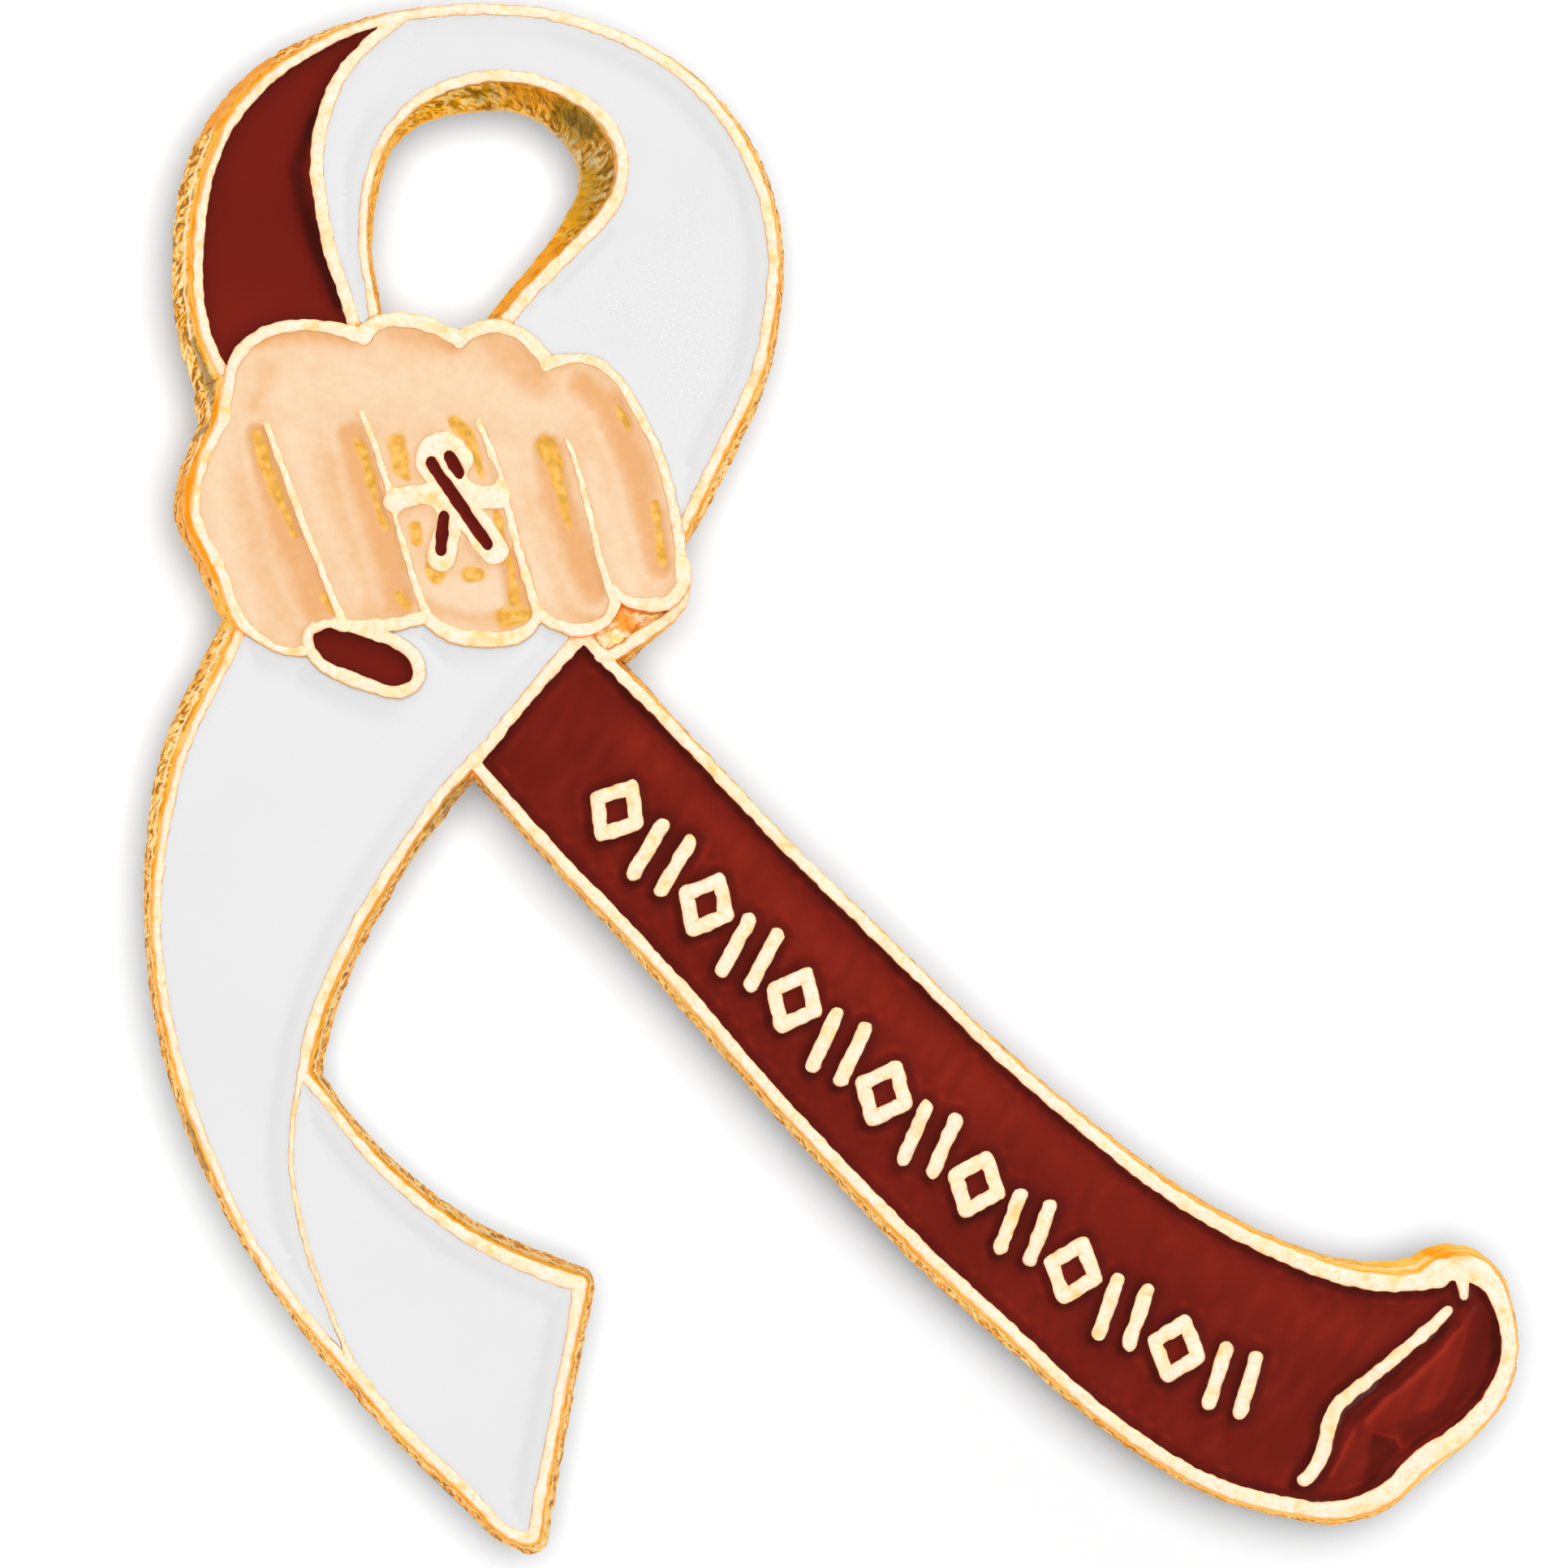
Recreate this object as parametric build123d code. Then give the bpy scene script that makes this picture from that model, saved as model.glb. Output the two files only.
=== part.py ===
from build123d import *
import os

os.makedirs("parts", exist_ok=True)

# Awareness ribbon pin, lying face up. X runs across the face, Y up the face and Z out of it.
# All sizes are in millimetres.

# The face
FACE_WIDTH = 27.8
FACE_HEIGHT = 31.4
LINE_WIDTH = 0.24

# The struck metal plate
PLATE_THICKNESS = 1.6
FOOT_HEIGHT = 0.55
WAIST_HEIGHT = 1.05
WALL_SPREAD = 0.5
FIST_RISE = 0.25
RECESS_DEPTH = 0.25

# The enamel
ENAMEL_DEPTH = 0.3
ENAMEL_SUNK = 0.07
ENAMEL_GAP = 0.02

# The raised frieze on the right tail
FRIEZE_UNITS = 7
FRIEZE_HEIGHT = 1.45
FRIEZE_LINE = 0.3
LOZENGE_WIDTH = 0.95
BAR_SPACING = 0.65

# The finger ring and its tiny ribbon
RING_BAND = 0.56
RIBBON_WIDTH = 0.62
STRIP_WIDTH = 0.25
STRIP_DEPTH = 0.22

# The fitting on the back
BAR_WIDTH = 2.2
BAR_THICKNESS = 0.5
FITTING_HEIGHT = 3.3
HINGE_WIDTH = 3.4
HINGE_LENGTH = 2.6
CATCH_DIAMETER = 2.8
EAR_THICKNESS = 0.7
FITTING_LENGTH = 14.8
FITTING_ANGLE = -48.6
FITTING_SHIFT = 0.09
FITTING_ASIDE = 0.2
STEM_DIAMETER = 0.8
STEM_CLEARANCE = 1.5
STEM_TIP = 0.3
SLOT_CLEARANCE = 0.1

# Levels above the surface that the pin lies on
BACK_LEVEL = FITTING_HEIGHT
FACE_LEVEL = BACK_LEVEL + PLATE_THICKNESS
FIST_LEVEL = FACE_LEVEL + FIST_RISE

# Each line of the face: across and up in percent of the face's width and height, the line's own
# weight as a share of the line width, and how far the side wall below it spreads towards the back,
# as a share of the wall spread.
OUTER_LINES = {
    "loop": [
        (5.3, 76.3, 0.9, 1.05),
        (3.95, 78.8, 0.8, 0.85),
        (3.42, 82.0, 0.8, 0.8),
        (3.45, 85.0, 0.8, 0.8),
        (4.2, 89.1, 0.8, 0.8),
        (5.65, 92.2, 0.8, 0.7),
        (8.6, 95.3, 0.8, 0.6),
        (12.1, 97.4, 0.8, 0.45),
        (16.5, 99.05, 0.8, 0.2),
        (20.5, 99.7, 0.9, 0.1),
        (25.0, 99.9, 0.9, 0.1),
        (29.5, 99.5, 0.9, 0.1),
        (33.5, 98.4, 0.9, 0.1),
        (37.5, 96.6, 0.9, 0.2),
        (41.0, 93.9, 0.9, 0.3),
        (43.5, 90.7, 0.9, 0.4),
        (45.1, 87.0, 0.9, 0.4),
        (45.6, 83.6, 0.9, 0.35),
        (45.2, 79.8, 0.9, 0.4),
        (44.2, 76.0, 0.9, 0.4),
        (42.6, 73.0, 0.9, 0.5),
        (40.9, 69.9, 0.9, 0.5),
        (38.7, 65.8, 0.9, 0.3),
    ],
    "palm_heel": [
        (38.95, 62.6, 1.0, 0.15),
        (38.65, 61.2, 1.0, 0.15),
        (37.8, 60.3, 1.0, 0.15),
        (36.5, 59.55, 1.0, 0.25),
        (34.2, 58.2, 1.0, 0.4),
        (32.9, 57.8, 1.0, 0.3),
    ],
    "right_tail_top": [
        (31.7, 59.2, 1.2, 0.4),
        (34.3, 56.75, 1.0, 0.4),
        (38.15, 53.3, 1.0, 0.25),
        (43.1, 48.7, 1.0, 0.2),
        (47.9, 44.35, 1.0, 0.15),
        (52.8, 40.15, 1.0, 0.2),
        (57.7, 35.9, 1.0, 0.2),
        (62.7, 31.6, 1.0, 0.3),
        (67.8, 27.8, 1.05, 0.3),
        (72.6, 24.35, 1.1, 0.4),
        (77.9, 21.3, 1.2, 0.45),
        (83.1, 19.05, 1.3, 0.45),
        (87.6, 17.6, 1.4, 0.55),
        (91.5, 17.2, 1.5, 0.7),
        (94.6, 17.55, 1.6, 0.8),
    ],
    "right_tail_end": [
        (93.6, 17.5, 1.5, 0.7),
        (95.2, 18.1, 2.1, 0.55),
        (96.8, 18.1, 2.2, 0.4),
        (98.3, 17.25, 1.8, 0.4),
        (99.2, 15.6, 1.4, 0.35),
        (99.7, 13.2, 1.3, 0.3),
        (99.2, 11.0, 1.4, 0.4),
        (97.7, 8.8, 1.6, 0.45),
        (95.3, 6.9, 1.7, 0.45),
        (93.1, 5.6, 1.8, 0.5),
        (91.2, 3.95, 1.7, 0.5),
        (88.6, 2.75, 1.6, 0.4),
        (85.4, 2.5, 1.25, 0.32),
    ],
    "fold_notch": [
        (96.2, 18.0, 1.4, 0.0),
        (96.35, 16.35, 0.8, 0.0),
    ],
    "right_tail_bottom": [
        (86.0, 2.42, 1.3, 0.32),
        (82.5, 2.95, 1.3, 0.25),
        (78.2, 4.05, 1.2, 0.2),
        (73.4, 6.45, 1.1, 0.2),
        (67.8, 10.2, 1.0, 0.2),
        (63.4, 13.85, 1.0, 0.3),
        (58.5, 17.8, 1.0, 0.35),
        (53.6, 22.05, 1.0, 0.3),
        (48.8, 26.45, 1.0, 0.25),
        (44.1, 31.0, 1.0, 0.2),
        (39.7, 35.55, 1.0, 0.25),
        (34.3, 40.7, 1.0, 0.15),
        (29.7, 44.95, 1.0, 0.1),
        (23.8, 50.8, 1.0, 0.15),
    ],
    "left_tail_inside": [
        (23.7, 51.2, 1.0, 0.3),
        (21.2, 48.85, 0.9, 0.5),
        (18.85, 45.9, 0.9, 0.4),
        (15.95, 41.9, 0.9, 0.45),
        (13.55, 37.9, 0.9, 0.55),
        (11.8, 33.9, 0.9, 0.65),
        (11.05, 30.6, 0.9, 0.7),
    ],
    "folded_end_top": [
        (11.0, 30.8, 0.8, 0.6),
        (12.9, 28.8, 0.8, 0.4),
        (15.6, 25.8, 0.8, 0.45),
        (18.8, 23.05, 0.9, 0.5),
        (22.4, 20.6, 1.0, 0.55),
        (26.3, 18.75, 1.2, 0.55),
        (31.4, 17.1, 1.3, 0.45),
    ],
    "folded_end_side": [
        (31.4, 17.1, 1.2, 0.45),
        (30.7, 13.5, 0.9, 0.45),
        (29.5, 8.1, 0.9, 0.5),
        (28.9, 5.3, 0.9, 0.5),
        (27.95, 0.75, 1.0, 0.5),
    ],
    "left_tail_bottom": [
        (28.0, 0.7, 0.9, 0.5),
        (26.4, 0.95, 0.9, 0.25),
        (24.2, 2.75, 0.9, 0.3),
        (21.2, 5.35, 0.9, 0.3),
        (18.2, 7.9, 0.9, 0.25),
        (15.3, 11.0, 0.9, 0.35),
        (12.4, 13.9, 0.8, 0.3),
        (9.7, 16.8, 0.8, 0.15),
        (7.1, 20.3, 0.7, 0.15),
        (4.75, 24.5, 0.7, 0.25),
        (2.4, 30.2, 0.7, 0.3),
        (1.0, 35.5, 0.7, 0.3),
        (0.4, 40.0, 0.7, 0.25),
        (0.6, 44.0, 0.7, 0.4),
        (1.3, 48.0, 0.7, 0.55),
        (2.7, 52.3, 0.7, 0.7),
        (4.75, 56.1, 0.7, 0.75),
        (6.6, 59.6, 0.8, 0.65),
    ],
    "eye": [
        (16.3, 79.4, 1.0, 0.2),
        (15.85, 82.0, 0.7, 0.3),
        (15.45, 84.6, 0.7, 0.3),
        (15.7, 88.0, 0.75, 0.4),
        (16.9, 91.3, 0.8, 0.35),
        (19.2, 93.75, 0.9, 0.6),
        (22.6, 95.2, 1.0, 0.95),
        (26.0, 95.6, 1.0, 1.05),
        (30.0, 94.7, 1.0, 1.2),
        (33.2, 92.75, 1.0, 1.5),
        (34.5, 90.3, 1.0, 1.5),
        (33.95, 87.5, 1.1, 1.3),
        (32.0, 85.3, 1.1, 0.9),
        (29.0, 82.65, 1.1, 0.5),
        (26.0, 79.6, 1.2, 0.4),
    ],
}

INNER_LINES = {
    "loop_divider": [
        (18.1, 99.15, 1.0),
        (16.2, 97.9, 1.05),
        (14.2, 96.0, 1.1),
        (12.8, 93.6, 1.15),
        (12.1, 90.3, 1.15),
        (12.4, 87.0, 1.15),
        (13.5, 83.0, 1.1),
        (14.3, 81.0, 1.1),
        (14.9, 79.0, 1.3),
    ],
    "crossing": [
        (23.7, 51.0, 1.1),
        (27.5, 55.15, 1.1),
        (31.7, 59.4, 1.3),
    ],
    "left_fold": [
        (11.0, 30.7, 0.7),
        (10.3, 27.2, 0.45),
        (10.35, 23.8, 0.45),
        (11.3, 19.7, 0.45),
        (13.1, 15.3, 0.45),
        (14.9, 11.7, 0.6),
    ],
}

# The fist stands higher than the rest of the face: its rim, finger ridges and nail
FIST_LINES = {
    "thumb_side": [
        (11.4, 58.2, 0.9),
        (10.0, 58.15, 0.7),
        (8.3, 58.75, 0.7),
        (6.85, 59.75, 0.9, 0.1),
        (5.95, 61.0, 0.9, 0.3),
        (5.3, 62.9, 0.9, 0.5),
        (4.1, 65.0, 0.9, 0.45),
        (3.2, 67.0, 0.9, 0.55),
        (3.3, 69.0, 0.9, 0.55),
        (4.05, 71.1, 0.9, 0.5),
        (5.2, 73.1, 0.9, 0.7),
    ],
    "first_knuckle": [
        (5.15, 73.0, 1.0, 0.7),
        (5.65, 75.6, 1.0, 0.8),
        (6.3, 77.35, 1.0),
        (8.2, 78.75, 1.0),
        (11.0, 79.3, 1.0),
        (13.5, 79.05, 1.1),
        (15.5, 78.55, 1.4),
    ],
    "second_knuckle": [
        (15.5, 78.6, 1.5),
        (16.7, 79.5, 1.3),
        (18.5, 79.65, 1.2),
        (20.3, 79.3, 1.2),
        (22.6, 78.3, 1.3),
    ],
    "third_knuckle": [
        (22.5, 78.3, 1.3),
        (23.8, 79.05, 1.2),
        (25.4, 79.25, 1.2),
        (26.9, 78.75, 1.2),
        (29.0, 76.8, 1.1),
    ],
    "fourth_knuckle": [
        (28.9, 76.75, 1.1),
        (30.4, 77.15, 0.9),
        (31.9, 77.1, 0.8),
        (33.4, 76.45, 0.8),
        (34.9, 74.8, 0.8),
        (36.5, 72.2, 0.8),
        (37.6, 69.7, 0.8),
        (38.35, 66.8, 0.9),
        (38.75, 64.5, 1.0),
        (38.8, 62.9, 1.0),
    ],
    "little_finger": [
        (38.85, 64.0, 1.0),
        (38.65, 62.1, 1.2),
        (37.7, 61.35, 1.2),
        (36.4, 61.2, 1.2),
        (35.1, 61.4, 1.0),
        (33.85, 62.0, 0.9),
    ],
    "ring_finger": [
        (33.8, 62.2, 0.9),
        (33.8, 60.9, 1.0),
        (32.9, 59.95, 1.0),
        (31.5, 59.55, 1.2),
        (30.0, 59.75, 1.0),
        (28.7, 60.4, 0.9),
        (28.2, 61.0, 0.9),
    ],
    "middle_finger": [
        (28.3, 60.9, 0.9),
        (27.6, 59.6, 1.1),
        (26.3, 59.05, 1.2),
        (24.3, 58.95, 1.3),
        (22.4, 59.15, 1.3),
        (20.9, 59.75, 1.2),
        (20.0, 60.8, 0.9),
    ],
    "index_finger": [
        (20.0, 60.4, 1.0),
        (17.3, 59.85, 1.2),
        (13.3, 59.95, 1.0),
    ],
    "nail_top": [
        (18.9, 58.1, 1.1),
        (17.6, 58.85, 1.1),
        (15.6, 59.45, 1.0),
        (13.6, 59.95, 0.8),
        (11.7, 59.55, 0.8),
    ],
    "nail_bottom": [
        (11.75, 59.8, 0.8),
        (11.4, 58.6, 0.9),
        (12.1, 57.55, 1.0),
        (14.0, 56.55, 1.1),
        (16.3, 55.8, 1.1),
        (18.3, 55.55, 1.0),
        (19.4, 56.2, 1.1),
        (19.45, 57.3, 1.1),
        (18.7, 58.3, 1.1),
    ],
    "first_ridge": [
        (13.9, 60.3, 0.8),
        (12.6, 63.0, 0.65),
        (10.4, 68.0, 0.65),
        (8.4, 72.8, 0.5),
    ],
    "second_ridge": [
        (20.15, 60.5, 0.8),
        (19.1, 63.0, 0.65),
        (17.5, 68.0, 0.65),
        (15.3, 73.6, 0.5),
    ],
    "third_ridge": [
        (28.35, 60.5, 0.9),
        (27.3, 63.3, 0.75),
        (25.9, 68.0, 0.75),
        (23.9, 73.1, 0.6),
    ],
    "fourth_ridge": [
        (33.8, 61.6, 0.8),
        (32.6, 65.0, 0.6),
        (31.8, 68.0, 0.6),
        (30.4, 71.9, 0.45),
    ],
}

# The finger ring: the ends of its band, and the legs and loop of its tiny ribbon
RING_LEFT_ENDS = [(17.95, 67.9), (20.9, 68.3)]
RING_RIGHT_ENDS = [(22.9, 68.35), (25.3, 68.3)]
RIBBON_LONG_LEG = [(20.35, 70.6), (25.0, 64.75)]
RIBBON_SHORT_LEG = [(22.4, 70.6), (21.2, 64.3)]
RIBBON_LOOP = (21.3, 70.6)
RIBBON_LOOP_SHARE = 0.92
RING_STRIPS = {
    "ring_strip_long": [(20.4, 70.4), (24.55, 65.1)],
    "ring_strip_short": [(21.8, 70.75), (22.5, 69.75)],
    "ring_strip_low": [(21.35, 66.9), (21.15, 64.75)],
}

# The fold line near the right tail's end stands free in the enamel
RIGHT_FOLD = [
    (95.2, 15.4, 0.9),
    (92.1, 12.95, 1.1),
    (89.2, 10.85, 1.1),
    (86.7, 8.7, 1.3),
    (86.1, 6.7, 1.3),
    (84.5, 4.35, 1.1),
]

# The frieze's run along the two rims of the right tail, as shares of their lengths, and its
# middle line as a share of the way from the lower rim to the upper one
FRIEZE_START = {"top": 0.085, "bottom": 0.9}
FRIEZE_END = {"top": 0.87, "bottom": 0.08}
FRIEZE_MIDDLE = 0.43

# A point inside each pocket, in percent
FACE_POCKETS = {
    "loop_burgundy": (8.0, 88.0),
    "loop_white": (40.0, 85.0),
    "left_tail_white": (12.0, 50.0),
    "folded_end_white": (22.0, 14.0),
    "right_tail_burgundy": (36.0, 54.0),
}
FIST_POCKETS = {
    "fist_peach": (12.0, 75.0),
    "fingertip_peach": (23.5, 61.0),
    "thumb_nail": (15.5, 58.0),
}
EYE_POINT = (23.0, 87.0)
PALM_POINT = (35.4, 60.2)


def place(across, up):
    """A point of the face from its shares in percent."""
    return Vector(across / 100 * FACE_WIDTH, up / 100 * FACE_HEIGHT)


def disc(centre, radius):
    return Pos(centre.X, centre.Y) * Circle(radius).face()


def stroke(points, margin=0.0, spread=0.0):
    """A line of the face as a flat band with round ends, wider by the margin and the spread."""
    centres = [place(across, up) for across, up, *rest in points]
    halves = []
    for across, up, weight, *share in points:
        halves.append(weight * LINE_WIDTH / 2 + margin + spread * sum(share))
    path = Spline(*centres)
    left = []
    right = []
    for centre, half in zip(centres, halves):
        tangent = path.tangent_at(path.param_at_point(centre)).normalized()
        side = Vector(-tangent.Y, tangent.X) * half
        left.append(centre + side)
        right.append(centre - side)
    edges = [Spline(*left), Line(left[-1], right[-1]), Spline(*right), Line(right[0], left[0])]
    band = make_face(Wire(edges)).face()
    return [band, disc(centres[0], halves[0]), disc(centres[-1], halves[-1])]


def bar(ends, width):
    """A straight flat bar between two points, with round ends."""
    start, end = ends
    run = end - start
    side = Vector(-run.Y, run.X).normalized() * (width / 2)
    corners = [start + side, end + side, end - side, start - side]
    band = make_face(Polyline(*corners, close=True)).face()
    return [band, disc(start, width / 2), disc(end, width / 2)]


def placed(ends):
    return [place(across, up) for across, up in ends]


def joined(faces):
    """The faces joined into one flat area."""
    return Sketch() + faces


def net_of(area):
    return max(area.faces(), key=lambda face: face.area)


def facing_up(wire):
    """The flat area within a closed line, with its normal along Z."""
    face = Face(wire)
    return face if face.normal_at().Z > 0 else -face


def inside(net):
    """The area within the outer edge of a net of lines."""
    return facing_up(net.outer_wire())


def pocket_at(net, shares):
    """The closed space between the lines of a net that holds a point."""
    point = place(*shares)
    spaces = [facing_up(wire) for wire in net.inner_wires()]
    return next(space for space in spaces if space.is_inside((point.X, point.Y, 0)))


def face_net(margin=0.0, spread=0.0):
    """All the lines of the face, joined."""
    faces = []
    for table in (OUTER_LINES, INNER_LINES, FIST_LINES):
        for points in table.values():
            faces += stroke(points, margin, spread)
    return net_of(joined(faces))


def fist_net(margin=0.0):
    """The lines of the fist, with the ring and its ribbon."""
    faces = [disc(place(*RIBBON_LOOP), RIBBON_LOOP_SHARE * RIBBON_WIDTH + margin)]
    for points in FIST_LINES.values():
        faces += stroke(points, margin)
    for ends in (RING_LEFT_ENDS, RING_RIGHT_ENDS):
        faces += bar(placed(ends), RING_BAND + 2 * margin)
    for ends in (RIBBON_LONG_LEG, RIBBON_SHORT_LEG):
        faces += bar(placed(ends), RIBBON_WIDTH + 2 * margin)
    return net_of(joined(faces))


def frieze_figures(margin=0.0):
    """Hollow lozenges with a pair of bars between them, along the right tail."""
    top = Spline(*[place(across, up) for across, up, *rest in OUTER_LINES["right_tail_top"]])
    bottom = Spline(*[place(across, up) for across, up, *rest in OUTER_LINES["right_tail_bottom"]])

    def on_rim(rim, name, share):
        return rim.position_at(FRIEZE_START[name] * (1 - share) + FRIEZE_END[name] * share)

    def across_band(share):
        high = on_rim(top, "top", share)
        low = on_rim(bottom, "bottom", share)
        return low + (high - low) * FRIEZE_MIDDLE, (high - low).normalized()

    figures = []
    reach = (FRIEZE_HEIGHT - FRIEZE_LINE) / 2
    for unit in range(FRIEZE_UNITS):
        centre, up = across_band((unit + 0.25) / FRIEZE_UNITS)
        along = Vector(up.Y, -up.X)
        tips = [centre + up * reach, centre + along * (LOZENGE_WIDTH / 2)]
        tips += [centre - up * reach, centre - along * (LOZENGE_WIDTH / 2)]
        sides = []
        for ends in zip(tips, tips[1:] + tips[:1]):
            sides += bar(ends, FRIEZE_LINE + 2 * margin)
        figures.append(joined(sides))
        centre, up = across_band((unit + 0.75) / FRIEZE_UNITS)
        along = Vector(up.Y, -up.X)
        for offset in (-BAR_SPACING / 2, BAR_SPACING / 2):
            waist = centre + along * offset
            ends = (waist - up * reach, waist + up * reach)
            figures.append(joined(bar(ends, FRIEZE_LINE + 2 * margin)))
    return figures


def enamel_areas(margin):
    """The flat area of each pocket of the face, smaller all round by the margin."""
    net = face_net(margin)
    areas = {name: Sketch() + pocket_at(net, shares) for name, shares in FACE_POCKETS.items()}
    islands = joined(stroke(RIGHT_FOLD, margin))
    for figure in frieze_figures(margin):
        islands += figure
    tail = (areas["right_tail_burgundy"] - islands).faces().sort_by(SortBy.AREA)
    areas["right_tail_burgundy"] = Sketch() + tail[-1]
    for number, drop in enumerate(tail[:-1].sort_by(Axis.X), start=1):
        areas[f"frieze_drop_{number}"] = Sketch() + drop
    fist = fist_net(margin)
    for name, shares in FIST_POCKETS.items():
        areas[name] = Sketch() + pocket_at(fist, shares)
    for name, ends in RING_STRIPS.items():
        areas[name] = joined(bar(placed(ends), STRIP_WIDTH - 2 * margin))
    return areas


def level_of(name):
    """The height of the metal round a pocket."""
    return FIST_LEVEL if name in FIST_POCKETS or name in RING_STRIPS else FACE_LEVEL


def depth_of(name):
    return STRIP_DEPTH if name in RING_STRIPS else ENAMEL_DEPTH


def make_plate():
    """The struck body: three steps of side wall, the raised fist, and the pockets cut into both."""
    body = None
    for height, share in ((FOOT_HEIGHT, 1.0), (WAIST_HEIGHT, 0.5), (PLATE_THICKNESS, 0.0)):
        net = face_net(spread=WALL_SPREAD * share)
        outline = Sketch() + inside(net) - pocket_at(net, EYE_POINT)
        step = Pos(0, 0, BACK_LEVEL) * extrude(outline, amount=height)
        body = step if body is None else body + step
    palm = pocket_at(face_net(), PALM_POINT)
    body += Pos(0, 0, FACE_LEVEL) * extrude(inside(fist_net()), amount=FIST_RISE)
    body -= Pos(0, 0, FACE_LEVEL) * extrude(palm, amount=-RECESS_DEPTH)
    for name, area in enamel_areas(0.0).items():
        body -= Pos(0, 0, level_of(name)) * extrude(area, amount=-depth_of(name))
    return body


def make_enamel():
    """The enamel in each pocket, flat and a little below the metal round it."""
    pieces = {}
    for name, area in enamel_areas(ENAMEL_GAP).items():
        floor = level_of(name) - depth_of(name)
        pieces[name] = Pos(0, 0, floor) * extrude(area, amount=depth_of(name) - ENAMEL_SUNK)
    return pieces


def make_brooch_pin(balance):
    """The bar, hinge, stem and catch on the back, in one piece, under the plate's balance point."""
    half = FITTING_LENGTH / 2
    bar_area = joined(bar((Vector(-half, 0), Vector(half, 0)), BAR_WIDTH))
    piece = Pos(0, 0, BACK_LEVEL - BAR_THICKNESS) * extrude(bar_area, amount=BAR_THICKNESS)
    ear_offset = (HINGE_WIDTH - EAR_THICKNESS) / 2
    stem_level = BACK_LEVEL - BAR_THICKNESS - STEM_CLEARANCE - STEM_DIAMETER / 2
    for side in (-1, 1):
        ear = Box(HINGE_LENGTH, EAR_THICKNESS, FITTING_HEIGHT)
        ear = fillet(ear.edges().filter_by(Axis.Z), EAR_THICKNESS / 3)
        piece += Pos(-half, side * ear_offset, FITTING_HEIGHT / 2) * ear
    base = Pos(-half, 0, BACK_LEVEL - BAR_THICKNESS / 2) * Box(HINGE_LENGTH, HINGE_WIDTH, BAR_THICKNESS)
    piece += base
    barrel = Pos(-half, 0, stem_level) * Rot(90, 0, 0) * Cylinder(STEM_DIAMETER * 0.95, HINGE_WIDTH)
    piece += barrel
    catch = Pos(half, 0, FITTING_HEIGHT / 2) * Cylinder(CATCH_DIAMETER / 2, FITTING_HEIGHT)
    slot_height = STEM_DIAMETER + 2 * SLOT_CLEARANCE
    slot_width = CATCH_DIAMETER / 2 + slot_height / 2
    slot_centre = slot_height / 2 - slot_width / 2
    catch -= Pos(half, slot_centre, stem_level) * Box(CATCH_DIAMETER * 2, slot_width, slot_height)
    piece += catch
    stem_length = FITTING_LENGTH + CATCH_DIAMETER / 2 + STEM_TIP
    stem = Rot(0, 90, 0) * Cylinder(STEM_DIAMETER / 2, stem_length)
    point = Rot(0, 90, 0) * Cone(STEM_DIAMETER / 2, STEM_DIAMETER / 10, 2 * STEM_TIP)
    piece += Pos(-half + stem_length / 2, 0, stem_level) * stem
    piece += Pos(-half + stem_length + STEM_TIP, 0, stem_level) * point
    shift = Pos(FITTING_LENGTH * FITTING_SHIFT, FITTING_ASIDE, 0)
    return Pos(balance.X, balance.Y, 0) * Rot(0, 0, FITTING_ANGLE) * shift * piece


plate = make_plate()
pieces = {"plate": plate}
pieces.update(make_enamel())
pieces["brooch_pin"] = make_brooch_pin(plate.center(CenterOf.MASS))
solids = {name: piece.solids()[0] for name, piece in pieces.items()}
middle = Compound(list(solids.values())).bounding_box().center()
for name, solid in solids.items():
    print(name, len(pieces[name].solids()), round(solid.volume, 3))
    export_step(Pos(-middle.X, -middle.Y, 0) * solid, f"parts/{name}.step")
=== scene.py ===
import math

import bpy
import numpy as np
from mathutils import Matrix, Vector, noise
from mathutils.bvhtree import BVHTree
from mathutils.geometry import delaunay_2d_cdt
from mathutils.kdtree import KDTree


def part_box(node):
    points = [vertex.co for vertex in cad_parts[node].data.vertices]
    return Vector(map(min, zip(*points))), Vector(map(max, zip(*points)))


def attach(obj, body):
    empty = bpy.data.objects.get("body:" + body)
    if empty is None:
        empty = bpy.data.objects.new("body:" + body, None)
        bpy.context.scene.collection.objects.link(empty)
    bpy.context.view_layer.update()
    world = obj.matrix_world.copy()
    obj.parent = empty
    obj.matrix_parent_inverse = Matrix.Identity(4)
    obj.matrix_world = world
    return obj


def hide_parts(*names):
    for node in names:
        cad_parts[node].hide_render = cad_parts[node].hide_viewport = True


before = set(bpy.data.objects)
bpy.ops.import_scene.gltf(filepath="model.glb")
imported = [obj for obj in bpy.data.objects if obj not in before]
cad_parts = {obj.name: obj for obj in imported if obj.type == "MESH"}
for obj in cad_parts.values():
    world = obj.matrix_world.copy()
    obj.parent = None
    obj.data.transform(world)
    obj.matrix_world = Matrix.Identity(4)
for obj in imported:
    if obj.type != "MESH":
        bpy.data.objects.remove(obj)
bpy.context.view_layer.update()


# The plate is one casting of zinc alloy, struck with raised lines round sunk areas and plated with
# bright gold. Its lines have soft shoulders; its side wall slopes out towards the back and keeps
# the rough skin of the trimmed casting below a thin crest.
MM = 0.001
line_step = 0.075
shoulder_width = 0.06
shoulder_drop = 0.014
row_gaps = (0.02, 0.06)
waver = 0.028
waver_length = 0.18
waver_seed = 5
noise.seed_set(waver_seed)
crease_angle = math.radians(48)
enamel_sink = 0.07
palm_depth = 0.25


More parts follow.
